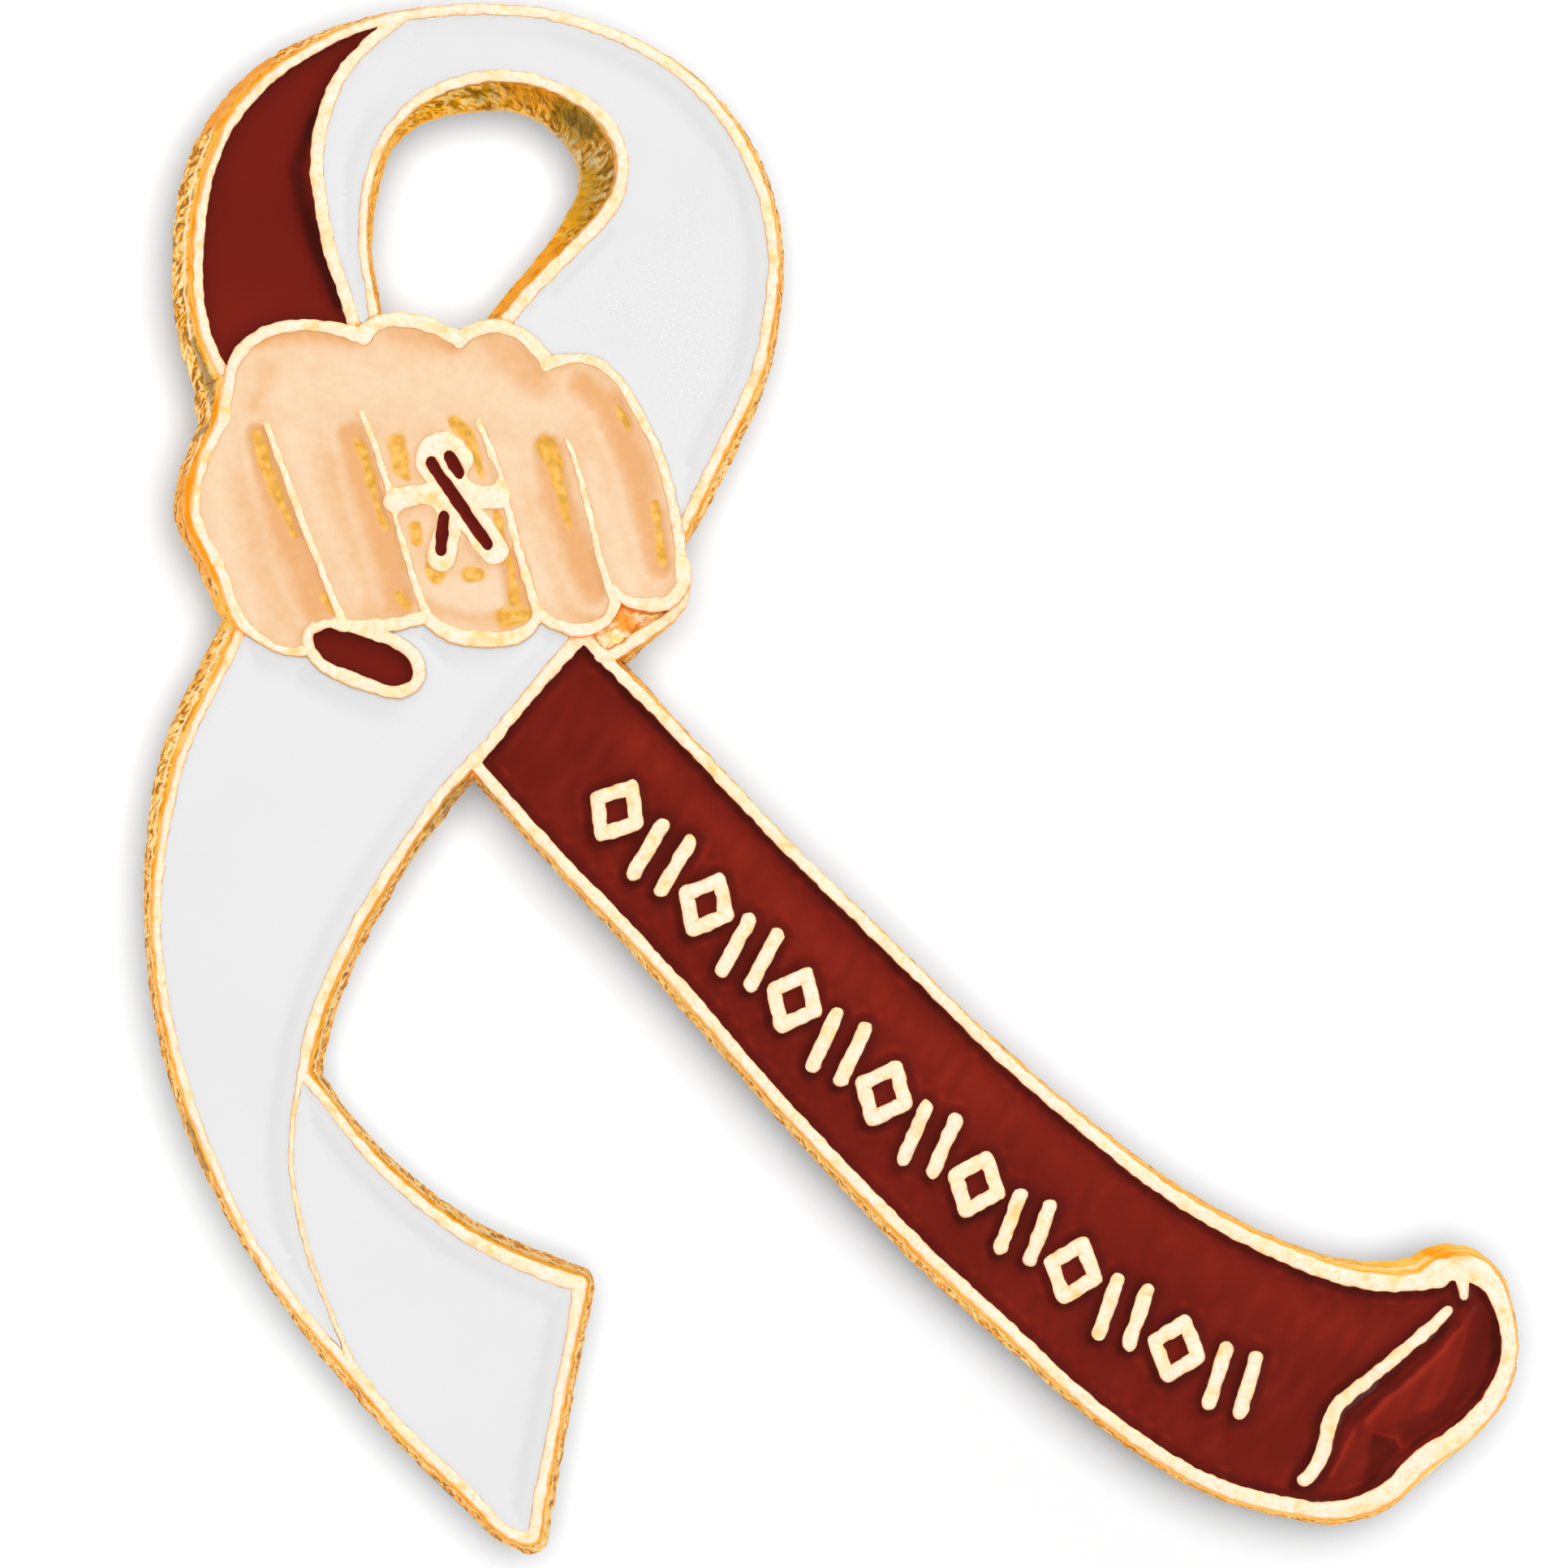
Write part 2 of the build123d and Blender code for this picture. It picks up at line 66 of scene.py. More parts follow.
def facets(name):
    """The points, in millimetres, and the triangles of a solid of the frame."""
    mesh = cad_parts[name].data
    points = np.empty(len(mesh.vertices) * 3)
    mesh.vertices.foreach_get("co", points)
    mesh.calc_loop_triangles()
    corners = np.empty(len(mesh.loop_triangles) * 3, dtype=int)
    mesh.loop_triangles.foreach_get("vertices", corners)
    points, place = np.unique(np.round(points.reshape(-1, 3) / MM, 4), axis=0, return_inverse=True)
    return points, place.ravel()[corners].reshape(-1, 3)


def chained(ways):
    """Closed lines of point numbers from a set of steps between points."""
    after = {}
    for first, second in ways:
        after.setdefault(first, []).append(second)
    lines = []
    while after:
        start = next(iter(after))
        line = [start]
        while True:
            choices = after[line[-1]]
            step = choices.pop()
            if not choices:
                del after[line[-1]]
            if step == start:
                break
            line.append(step)
        lines.append(line)
    return lines


def border(triangles):
    """The steps along the open edges of a sheet of triangles."""
    ways = set()
    for a, b, c in triangles:
        ways.update(((a, b), (b, c), (c, a)))
    return [way for way in ways if (way[1], way[0]) not in ways]


def flat_lines(name, level):
    """The closed edges of a solid's flat faces at one level."""
    shortest_step = 0.004
    points, triangles = facets(name)
    flat = (abs(points[triangles][:, :, 2] - level) < 1e-3).all(axis=1)
    lines = []
    for line in chained(border(triangles[flat].tolist())):
        run = points[line][:, :2]
        gaps = np.linalg.norm(run - np.roll(run, 1, axis=0), axis=1)
        lines.append(run[gaps > shortest_step])
    return lines


def corners_of(run):
    """Where a closed line has a true corner, not a step of a small round."""
    least_turn = 0.45
    share_beside = 0.6
    steps = np.roll(run, -1, axis=0) - run
    heading = np.arctan2(steps[:, 1], steps[:, 0])
    turn = abs((heading - np.roll(heading, 1) + math.pi) % (2 * math.pi) - math.pi)
    if len(run) < 8:
        return list(range(len(run)))
    beside = np.maximum(np.roll(turn, 1), np.roll(turn, -1))
    return [n for n in range(len(run)) if turn[n] > least_turn and beside[n] < share_beside * turn[n]]


def eased(run, step, closed=False):
    """A smooth line through the points of a run, with points one step apart."""
    fineness = 0.02
    ends = np.vstack([run, run[:1]]) if closed else run
    chords = np.diff(ends, axis=0)
    lengths = np.linalg.norm(chords, axis=1)
    tangents = np.empty_like(ends)
    tangents[1:-1] = ends[2:] - ends[:-2]
    if closed:
        tangents[0] = tangents[-1] = ends[1] - ends[-2]
    elif len(run) == 2:
        tangents[:] = chords[0]
    else:
        for end, inner, chord in ((0, 1, chords[0]), (-1, -2, chords[-1])):
            along = chord / np.linalg.norm(chord)
            near = tangents[inner] / np.linalg.norm(tangents[inner])
            tangents[end] = 2 * (near @ along) * along - near
    tangents /= np.linalg.norm(tangents, axis=1)[:, None]
    fine = []
    for n, length in enumerate(lengths):
        t = np.linspace(0, 1, max(3, int(length / fineness)), endpoint=False)[:, None]
        fine.append((2 * t**3 - 3 * t**2 + 1) * ends[n] + (t**3 - 2 * t**2 + t) * length * tangents[n]
                    + (3 * t**2 - 2 * t**3) * ends[n + 1] + (t**3 - t**2) * length * tangents[n + 1])
    fine = np.vstack(fine + [ends[-1:]])
    travelled = np.concatenate([[0], np.cumsum(np.linalg.norm(np.diff(fine, axis=0), axis=1))])
    stops = np.linspace(0, travelled[-1], max(2, round(travelled[-1] / step) + 1))
    return np.column_stack([np.interp(stops, travelled, fine[:, axis]) for axis in (0, 1)])


def spans(run, step):
    """A closed line as smooth open runs from corner to corner, or one run that ends where it starts."""
    corners = corners_of(run)
    if not corners:
        return [eased(run, step, closed=True)]
    stops = corners + [corners[0] + len(run)]
    return [eased(run[np.arange(first, last + 1) % len(run)], step) for first, last in zip(stops, stops[1:])]


def tree_of(points):
    """A search tree over the places of points, seen from above."""
    tree = KDTree(len(points))
    for number, point in enumerate(points):
        tree.insert((point[0], point[1], 0), number)
    tree.balance()
    return tree


def gap_to(tree, point):
    """How far a place is from the nearest point of a search tree."""
    return tree.find((point[0], point[1], 0))[2]


def rows_beside(runs, gaps):
    """Rows of points beside a set of runs, left out where two rows would cross."""
    clear_share = 0.93
    tree = tree_of(np.vstack(runs))
    rows = []
    for run in runs:
        inner = run[1:-1]
        heading = run[2:] - run[:-2]
        heading /= np.linalg.norm(heading, axis=1)[:, None]
        across = np.column_stack([-heading[:, 1], heading[:, 0]])
        for gap in gaps:
            for side in (1, -1):
                for point in inner + across * gap * side:
                    if gap_to(tree, point) > clear_share * gap:
                        rows.append(point)
    return rows


def knit(runs, loose):
    """Triangles between runs and loose points, with the area that each triangle lies in."""
    numbers = {}
    coords = []
    for point in [point for run in runs for point in run] + list(loose):
        key = (round(float(point[0]), 4), round(float(point[1]), 4))
        if key not in numbers:
            numbers[key] = len(coords)
            coords.append(Vector(key))
    edges = set()
    for run in runs:
        chain = [numbers[(round(float(x), 4), round(float(y), 4))] for x, y in run]
        edges.update((a, b) for a, b in zip(chain, chain[1:]) if a != b)
    points, lines, faces, _, sources, _ = delaunay_2d_cdt(coords, list(edges), [], 0, 1e-5)
    walls = {frozenset(line) for line, source in zip(lines, sources) if source}
    beside = {}
    for number, face in enumerate(faces):
        for a, b in zip(face, face[1:] + face[:1]):
            beside.setdefault(frozenset((a, b)), []).append(number)
    area = [None] * len(faces)
    areas = []
    for first in range(len(faces)):
        if area[first] is not None:
            continue
        area[first] = len(areas)
        queue = [first]
        members = []
        while queue:
            number = queue.pop()
            members.append(number)
            face = faces[number]
            for a, b in zip(face, face[1:] + face[:1]):
                side = frozenset((a, b))
                if side in walls:
                    continue
                for other in beside[side]:
                    if area[other] is None:
                        area[other] = area[first]
                        queue.append(other)
        areas.append(members)
    return np.array([tuple(point) for point in points]), faces, areas


def turn_of(points, face):
    """Twice a triangle's size as seen from above, below zero where it is turned over."""
    a, b, c = (points[n] for n in face)
    return (b[0] - a[0]) * (c[1] - a[1]) - (b[1] - a[1]) * (c[0] - a[0])


def level_at(tree, point, down=True):
    """The height at which a line straight down, or straight up, meets a solid."""
    far = 20
    way = -1 if down else 1
    hit = tree.ray_cast((point[0], point[1], -way * far), (0, 0, way))[0]
    return None if hit is None else hit.z


def facing_up(points, face):
    """A triangle turned so that it is seen from above."""
    return list(face) if turn_of(points, face) > 0 else list(reversed(face))


def measured(points, faces, areas, tree, down=True):
    """Each area's level, from the middles of some of its triangles, large ones first."""
    levels = []
    for members in areas:
        ordered = sorted(members, key=lambda number: -abs(turn_of(points, faces[number])))
        some = ordered[:3] + ordered[3::max(1, len(ordered) // 12)]
        found = [level_at(tree, points[list(faces[number])].mean(axis=0), down) for number in some]
        found = [level for level in found if level is not None]
        levels.append(sorted(found)[len(found) // 2] if len(found) * 3 > len(some) else None)
    return levels


def hexes(low, high, step):
    """Points in rows, each row set off by half a step."""
    row_share = 0.866
    points = []
    for row, y in enumerate(np.arange(low[1], high[1], step * row_share)):
        points += [(x, y) for x in np.arange(low[0] + step / 2 * (row % 2), high[0], step)]
    return points


def thinned(points, grid):
    """Loose points brought to a fine grid, without doubles."""
    return np.unique(np.round(np.array(points) / grid), axis=0) * grid


def underside(rings, points, tree, down):
    """The flat faces that close a piece at the bottom, between rings of its points."""
    order = [n for ring in rings for n in ring]
    numbers = tree_of(np.array([points[n][:2] for n in order]))
    lines = [np.array([points[n][:2] for n in ring + ring[:1]]) for ring in rings]
    flat, faces, areas = knit(lines, [])
    closed = []
    for members, level in zip(areas, measured(flat, faces, areas, tree, down)):
        if level is None:
            continue
        for number in members:
            face = facing_up(flat, faces[number])
            closed.append([order[numbers.find((*flat[n], 0))[1]] for n in reversed(face)])
    return closed


def shown(name, data):
    """An object of the scene with its mesh, light or lens."""
    thing = bpy.data.objects.new(name, data)
    bpy.context.collection.objects.link(thing)
    return thing


def built(name, points, faces, marks):
    """A smooth mesh object from points in millimetres, with marks kept as attributes."""
    mesh = bpy.data.meshes.new(name)
    spots = []
    for point in points:
        # The struck lines waver a little, and whatever lies beside them follows
        spot = Vector(point)
        push = noise.noise_vector(Vector((*spot.xy, 0)) / waver_length)
        spots.append((spot + push * Vector((waver, waver, 0))) * MM)
    mesh.from_pydata(spots, [], faces)
    mesh.update()
    mesh.shade_smooth()
    mesh.set_sharp_from_angle(angle=crease_angle)
    for mark, values in marks.items():
        layer = mesh.attributes.new(mark, "FLOAT", "POINT")
        layer.data.foreach_set("value", np.asarray(values, dtype=np.float32))
    return shown(name, mesh)


plate_points, plate_facets = facets("plate")
plate_tree = BVHTree.FromPolygons(plate_points.tolist(), plate_facets.tolist())
back_level = round(float(plate_points[:, 2].min()), 3)
fist_level = round(float(plate_points[:, 2].max()), 3)
face_level = round(float(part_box("loop_white")[1].z / MM + enamel_sink), 3)

# The lines of the fist stay whole; those of the face stop where they meet the fist's outline
fist_lines = flat_lines("plate", fist_level)
fist_lines.sort(key=lambda run: np.ptp(run[:, 0]) * np.ptp(run[:, 1]))
fist_edge = fist_lines[-1]
fist_ring = np.vstack([fist_edge, fist_edge[:1]])


def off_steps(run, point):
    """How far a point is from each step of a line."""
    steps = np.diff(run, axis=0)
    share = np.clip(((point - run[:-1]) * steps).sum(axis=1) / (steps**2).sum(axis=1), 0, 1)
    return np.linalg.norm(run[:-1] + share[:, None] * steps - point, axis=1)


touching = 0.014
meeting = 0.015
snapping = 0.02
face_runs = []
meeting_points = []
for line in flat_lines("plate", face_level):
    count = len(line)
    free = []
    for n in range(count):
        a, b = line[n], line[(n + 1) % count]
        free.append(max(off_steps(fist_ring, spot).min() for spot in (a, b, (a + b) / 2)) > touching)
    if all(free):
        face_runs += spans(line, line_step)
        continue
    corners = set(corners_of(line))
    start = next(n for n in range(count) if not free[n])
    run = []
    for n in range(start, start + count + 1):
        here, after = n % count, (n + 1) % count
        if free[here] and n < start + count:
            run = (run or [line[here]]) + [line[after]]
            if after in corners and free[after]:
                face_runs.append(eased(np.array(run), line_step))
                run = [line[after]]
        elif run:
            if len(run) > 1:
                face_runs.append(eased(np.array(run), line_step))
            run = []
    for n in range(count):
        if free[n] != free[n - 1]:
            meeting_points.append(line[n])

fist_runs = [run for line in fist_lines[:-1] for run in spans(line, line_step)]
for run in spans(fist_edge, line_step):
    for point in meeting_points:
        gaps = np.linalg.norm(run - point, axis=1)
        nearest = int(gaps.argmin())
        if gaps[nearest] > line_step:
            continue
        off = off_steps(run, point)
        place = int(off.argmin())
        if off[place] > meeting:
            continue
        if gaps[nearest] < snapping and 0 < nearest < len(run) - 1:
            run[nearest] = point
        elif gaps[nearest] > 1e-4:
            run = np.insert(run, place + 1, point, axis=0)
    fist_runs.append(run)

runs = face_runs + fist_runs
loose = rows_beside(runs, row_gaps)
palm_level = face_level - palm_depth
palm_corners = ((-5.5, 1.5), (-2.8, 4.5))
face_tree = tree_of(np.vstack(face_runs))
fist_tree = tree_of(np.vstack(fist_runs))
every_line = tree_of(np.vstack(runs))
for point in hexes(*palm_corners, 0.09):
    found = level_at(plate_tree, point)
    if found is not None and abs(found - palm_level) < 0.01 and gap_to(every_line, point) > 0.08:
        loose.append(point)
flat, faces, areas = knit(runs, thinned(loose, 0.006))
levels = measured(flat, faces, areas, plate_tree)

highest = np.full(len(flat), -1.0)
lowest = np.full(len(flat), 99.0)
top_faces = []
for members, level in zip(areas, levels):
    if level is None or level < palm_level - 0.15:
        continue
    for number in members:
        face = facing_up(flat, faces[number])
        top_faces.append(face)
        for n in face:
            highest[n] = max(highest[n], level)
            lowest[n] = min(lowest[n], level)

heights = np.zeros(len(flat))
palm = np.zeros(len(flat))
edge = np.zeros(len(flat))
for n, point in enumerate(flat):
    if highest[n] < 0:
        continue
    heights[n] = highest[n]
    on_fist = abs(highest[n] - fist_level) < 1e-3
    if on_fist or abs(highest[n] - face_level) < 1e-3:
        tree = fist_tree if on_fist else face_tree
        inset = min(1, gap_to(tree, point) / shoulder_width) if highest[n] - lowest[n] < 1e-3 else 0
        heights[n] -= shoulder_drop * (1 - inset) ** 2
        edge[n] = 1 - inset
    elif abs(highest[n] - palm_level) < 0.01:
        palm[n] = 1

# The side wall runs on ribs from the back's outline up to the outline of the face
rib_rise = (0.0, 0.025, 0.12, 0.24, 0.36, 0.48, 0.58, 0.655, 0.7, 0.74, 0.82, 0.9, 0.96, 1.0)
rib_reach = (0.95, 1.0, 0.98, 0.9, 0.8, 0.69, 0.58, 0.5, 0.48, 0.38, 0.22, 0.1, 0.03, 0.0)
rib_grain = (0.0, 0.3, 0.8, 1.0, 1.0, 1.0, 1.0, 0.95, 0.8, 0.6, 0.2, 0.0, 0.0, 0.0)
eye_reach = (0.97, 1.0, 0.9, 0.78, 0.66, 0.54, 0.44, 0.36, 0.31, 0.27, 0.19, 0.12, 0.06, 0.0)
eye_grain = (0.0, 0.1, 0.5, 0.9, 0.9, 0.9, 0.9, 0.9, 0.9, 0.9, 0.9, 0.7, 0.3, 0.0)
used = sorted({n for face in top_faces for n in face})
number_of = {n: place for place, n in enumerate(used)}
points = [(flat[n][0], flat[n][1], heights[n]) for n in used]
faces_of_plate = [[number_of[n] for n in face] for face in top_faces]
marks = {mark: [0.0] * len(used) for mark in ("grain", "wall", "pitted", "along", "rise", "sheltered")}
marks["pitted"] = [palm[n] for n in used]
rims = chained(border(faces_of_plate))


def winding(run):
    """Above zero for a closed line that runs leftwards round its middle, below zero otherwise."""
    x, y = run[:, 0], run[:, 1]
    return (x * np.roll(y, -1) - np.roll(x, -1) * y).sum()


def off_stretch(start, end, x, y):
    """How far along a stretch the place nearest to another lies, and how far off it is."""
    ax, ay = start[:2]
    ex, ey = end[0] - ax, end[1] - ay
    share = min(1.0, max(0.0, ((x - ax) * ex + (y - ay) * ey) / (ex * ex + ey * ey)))
    return share, math.hypot(x - ax - ex * share, y - ay - ey * share)


def off_strokes(strokes, x, y):
    """How far a place is from a set of strokes, each a line of (x, y, half width), in half widths."""
    least = 9.0
    for stroke in strokes:
        for start, end in zip(stroke, stroke[1:]):
            share, off = off_stretch(start, end, x, y)
            least = min(least, off / (start[2] + (end[2] - start[2]) * share))
    return least


def brushed(strokes, x, y):
    """How strongly a place lies under a set of strokes."""
    return math.exp(-off_strokes(strokes, x, y) ** 2)


# The wall of the right tail is smoother, paler and steeper than the loop's and the fist's
smooth_places = (
    ((-3.4, 3.2, 0.9), (0.2, -0.4, 1.3), (4.6, -4.6, 1.3), (9.0, -8.4, 1.5), (12.6, -9.9, 1.2)),
    ((-4.4, 0.1, 0.8), (-0.6, -5.0, 1.2), (4.2, -9.6, 1.5), (8.6, -13.8, 1.6), (13.6, -13.6, 1.8)))
hump_places = (((10.6, -9.0, 0.8), (12.0, -9.4, 1.0), (12.9, -9.6, 0.7)),)
foot_stretch = 1.3
count_share = 1 / 500
feet = []
for line in flat_lines("plate", back_level):
    feet.append(np.vstack([span[:-1] for span in spans(line, line_step * foot_stretch)]))
back_runs = []
for rim in rims:
    in_eye = len(rim) < max(len(other) for other in rims)
    top = np.array([points[n][:2] for n in rim])
    foot = min(feet, key=lambda run: abs(run.mean(axis=0) - top.mean(axis=0)).sum()
               + abs(len(run) * foot_stretch - len(rim)) * count_share)
    if winding(foot) * winding(top) < 0:
        foot = foot[::-1]
    foot = np.roll(foot, -int(np.linalg.norm(foot - top[0], axis=1).argmin()), axis=0)
    pairs = [(0, 0)]
    upper = lower = 0
    while upper < len(top) or lower < len(foot):
        ahead = np.linalg.norm(top[(upper + 1) % len(top)] - foot[lower % len(foot)])
        along = np.linalg.norm(top[upper % len(top)] - foot[(lower + 1) % len(foot)])
        if lower >= len(foot) or (upper < len(top) and ahead <= along):
            upper += 1
        else:
            lower += 1
        pairs.append((upper, lower))
    pairs = pairs[:-1]
    reaches, roughs = (eye_reach, eye_grain) if in_eye else (rib_reach, rib_grain)
    ribs = []
    foot_numbers = {}
    travelled = 0.0
    before = None
    for upper, lower in pairs:
        head = rim[upper % len(top)]
        base = foot[lower % len(foot)]
        middle = (top[upper % len(top)] + base) / 2
        travelled += 0.0 if before is None else float(np.linalg.norm(middle - before))
        before = middle
        rib = []
        spot = points[head][:2]
        snug = 1 - 0.5 * brushed(smooth_places, *spot) + 0.5 * brushed(hump_places, *spot)
        for rise, reach, rough in zip(rib_rise, reaches, roughs):
            if rise == 1.0:
                rib.append(head)
                continue
            if rise == 0.0 and lower % len(foot) in foot_numbers:
                rib.append(foot_numbers[lower % len(foot)])
                continue
            x, y = np.array(spot) * (1 - reach * snug) + base * reach * snug
            height = back_level + (points[head][2] - back_level) * rise
            rib.append(len(points))
            if rise == 0.0:
                foot_numbers[lower % len(foot)] = len(points)
            points.append((x, y, height))
            lowness = 0.4 + 0.6 * (1.0 - rise) if in_eye else 1.0 - rise
            values = (rough, lowness, 0.0, travelled, height - back_level, float(in_eye))
            for mark, value in zip(marks, values):
                marks[mark].append(value)
        ribs.append(rib)
    for near, far in zip(ribs, ribs[1:] + ribs[:1]):
        for k in range(len(rib_rise) - 1):
            corners = [near[k], far[k], far[k + 1], near[k + 1]]
            kept = [n for place, n in enumerate(corners) if n != corners[place - 1]]
            if len(kept) > 2:
                faces_of_plate.append(kept)
    chain = [foot_numbers[lower % len(foot)] for _, lower in pairs]
    back_runs.append([n for place, n in enumerate(chain) if n != chain[place - 1]])
faces_of_plate += underside(back_runs, points, plate_tree, down=False)

# Where the plating is deep orange or bright yellow, and where it is darkened to olive or brown
orange_places = (
    ((12.15, -9.64, 0.12), (12.62, -9.78, 0.2), (13.04, -10.0, 0.12)),
    ((-13.2, 6.0, 0.3), (-13.1, 5.2, 0.3), (-12.6, 4.2, 0.25)),
    ((-5.7, 10.8, 0.25), (-6.4, 10.0, 0.25), (-7.0, 9.4, 0.2)), ((-6.6, 14.1, 0.28), (-5.7, 13.85, 0.28)),
    ((-12.7, 13.4, 0.25), (-12.2, 14.1, 0.25), (-11.6, 14.6, 0.2)),
    ((-12.9, 9.4, 0.2), (-13.1, 10.4, 0.15)))
yellow_places = (
    ((-5.0, 12.3, 0.25), (-5.3, 11.4, 0.28)), ((0.5, -7.5, 0.25), (2.6, -9.6, 0.25)),
    ((-12.7, 3.6, 0.2), (-12.5, 3.2, 0.2)), ((-10.6, 14.7, 0.2), (-10.2, 14.9, 0.2)))
olive_places = (((-5.5, 13.6, 0.32), (-5.1, 13.3, 0.32)),)
brown_places = (
    ((-13.05, 8.9, 0.12), (-12.7, 7.9, 0.14), (-12.6, 7.3, 0.12), (-13.05, 6.95, 0.06)),
    ((-4.3, 2.65, 0.08), (-3.85, 2.9, 0.08)),
    ((-13.35, -6.1, 0.05), (-13.1, -7.2, 0.07), (-12.8, -8.0, 0.05)))
# The plating is also deep orange along the lip of the loop's left side and on the right tail's hump
lip_places = (
    ((-13.0, 5.5, 0.3), (-13.45, 7.5, 0.3), (-13.6, 9.5, 0.3), (-13.35, 11.4, 0.3), (-12.6, 13.1, 0.3)),
    ((12.3, -9.6, 0.2), (12.7, -9.75, 0.3), (13.0, -10.0, 0.2)))
outer_lines = tree_of(np.array([points[n][:2] for rim in rims for n in rim]))
for mark, places in (("orange", orange_places), ("yellow", yellow_places),
                     ("olive", olive_places), ("brown", brown_places)):
    marks[mark] = [brushed(places, x, y) if n >= len(used) and z > back_level + 0.1 else 0.0
                   for n, (x, y, z) in enumerate(points)]
lip_width = 0.1
for n, (x, y, z) in enumerate(points[:len(used)]):
    lip = math.exp(-((gap_to(outer_lines, (x, y)) / lip_width) ** 2))
    marks["orange"][n] = brushed(lip_places, x, y) * lip
none_on_face, none_on_wall = [0.0] * len(used), [0.0] * (len(points) - len(used))
marks["pale"] = none_on_face + [brushed(smooth_places, x, y) for x, y, z in points[len(used):]]
marks["grain"] = [rough * (1 - 0.85 * pale) for rough, pale in zip(marks["grain"], marks["pale"])]
marks["struck"] = [1.0 + 3.0 * pitted for pitted in marks["pitted"][:len(used)]] + none_on_wall
marks["edge"] = [edge[n] for n in used] + none_on_wall
plate = built("plate_struck", points, faces_of_plate, marks)


def node_at(tree, kind, **settings):
    """A node of a tree, with its settings."""
    node = tree.nodes.new(kind)
    for key, value in settings.items():
        setattr(node, key, value)
    return node


def wired(tree, kind, sources, **settings):
    """A node whose inputs, by number or name, are linked to outputs or set to values."""
    node = node_at(tree, kind, **settings)
    for key, source in sources.items():
        if isinstance(source, bpy.types.NodeSocket):
            tree.links.new(source, node.inputs[key])
        else:
            node.inputs[key].default_value = source
    return node


def maths(tree, operation, *values):
    """One step of arithmetic on values."""
    return wired(tree, "ShaderNodeMath", dict(enumerate(values)), operation=operation).outputs[0]


def mapped(tree, value, low, high, first=0.0, last=1.0):
    """A value from one range brought to another."""
    return wired(tree, "ShaderNodeMapRange", {0: value, 1: low, 2: high, 3: first, 4: last}).outputs[0]


def slanted(tree, along, rise):
    """A place on the side wall, leaned over as the shear marks lean."""
    lean = maths(tree, "MULTIPLY_ADD", rise, 0.3, along)
    squeezed = maths(tree, "MULTIPLY", rise, 0.33)
    return wired(tree, "ShaderNodeCombineXYZ", {0: lean, 1: squeezed}).outputs[0]


# The grain of the casting: slanted shear marks on the side wall, faint unevenness on the struck lines
casting = bpy.data.node_groups.new("cast_grain", "GeometryNodeTree")
casting.interface.new_socket(name="Geometry", in_out="INPUT", socket_type="NodeSocketGeometry")
for name in ("Depth", "Mark size", "Unevenness", "Seed"):
    casting.interface.new_socket(name=name, in_out="INPUT", socket_type="NodeSocketFloat")
casting.interface.new_socket(name="Finish", in_out="INPUT", socket_type="NodeSocketMaterial")
casting.interface.new_socket(name="Geometry", in_out="OUTPUT", socket_type="NodeSocketGeometry")
given = node_at(casting, "NodeGroupInput")
named = {}
for mark in ("grain", "along", "rise", "struck"):
    named[mark] = wired(casting, "GeometryNodeInputNamedAttribute", {0: mark},
                        data_type="FLOAT").outputs["Attribute"]
spot = slanted(casting, named["along"], named["rise"])
pitch = maths(casting, "DIVIDE", 1.0, given.outputs["Mark size"])
seed = given.outputs["Seed"]
hatch = wired(casting, "ShaderNodeTexNoise", {"Vector": spot, "Scale": pitch, "W": seed, "Detail": 2.0},
              noise_dimensions="4D").outputs["Fac"]
cut = maths(casting, "MULTIPLY", mapped(casting, hatch, 0.3, 0.7, -0.5, 0.5), named["grain"])
cut_depth = maths(casting, "MULTIPLY", cut, given.outputs["Depth"])
lumps = wired(casting, "ShaderNodeTexNoise", {"Scale": 5200, "W": seed, "Detail": 2.0},
              noise_dimensions="4D").outputs["Fac"]
lump_cut = maths(casting, "MULTIPLY", mapped(casting, lumps, 0.3, 0.7, -0.5, 0.5), named["struck"])
offset = maths(casting, "MULTIPLY_ADD", lump_cut, given.outputs["Unevenness"], cut_depth)
outward = node_at(casting, "GeometryNodeInputNormal").outputs[0]
shift = wired(casting, "ShaderNodeVectorMath", {0: outward, 3: offset}, operation="SCALE").outputs[0]
moved = wired(casting, "GeometryNodeSetPosition", {0: given.outputs["Geometry"], 3: shift})
solid = wired(casting, "GeometryNodeRealizeInstances", {0: moved.outputs[0]})
coated = wired(casting, "GeometryNodeSetMaterial", {0: solid.outputs[0], 2: given.outputs["Finish"]})
result = node_at(casting, "NodeGroupOutput")
casting.links.new(coated.outputs[0], result.inputs[0])


def shaped_by(thing, group, values):
    """Run a tree of geometry nodes on an object and keep the plain mesh that it gives."""
    modifier = thing.modifiers.new(group.name, "NODES")
    modifier.node_group = group
    for item in group.interface.items_tree:
        if item.item_type == "SOCKET" and item.in_out == "INPUT" and item.name in values:
            modifier[item.identifier] = values[item.name]
    thing.update_tag()
    ready = bpy.context.evaluated_depsgraph_get()
    mesh = bpy.data.meshes.new_from_object(thing.evaluated_get(ready), preserve_all_data_layers=True,
                                           depsgraph=ready)
    thing.modifiers.clear()
    thing.data = mesh
    mesh.shade_smooth()


def finish_named(name):
    """A new material, its tree and its shader, which is wired to the output."""
    material = bpy.data.materials.new(name)
    material.use_nodes = True
    tree = material.node_tree
    tree.nodes.clear()
    shader = node_at(tree, "ShaderNodeBsdfPrincipled")
    output = node_at(tree, "ShaderNodeOutputMaterial")
    tree.links.new(shader.outputs["BSDF"], output.inputs["Surface"])
    return material, tree, shader


def mark_on(tree, name):
    """A mark that the mesh carries."""
    return node_at(tree, "ShaderNodeAttribute", attribute_name=name).outputs["Fac"]


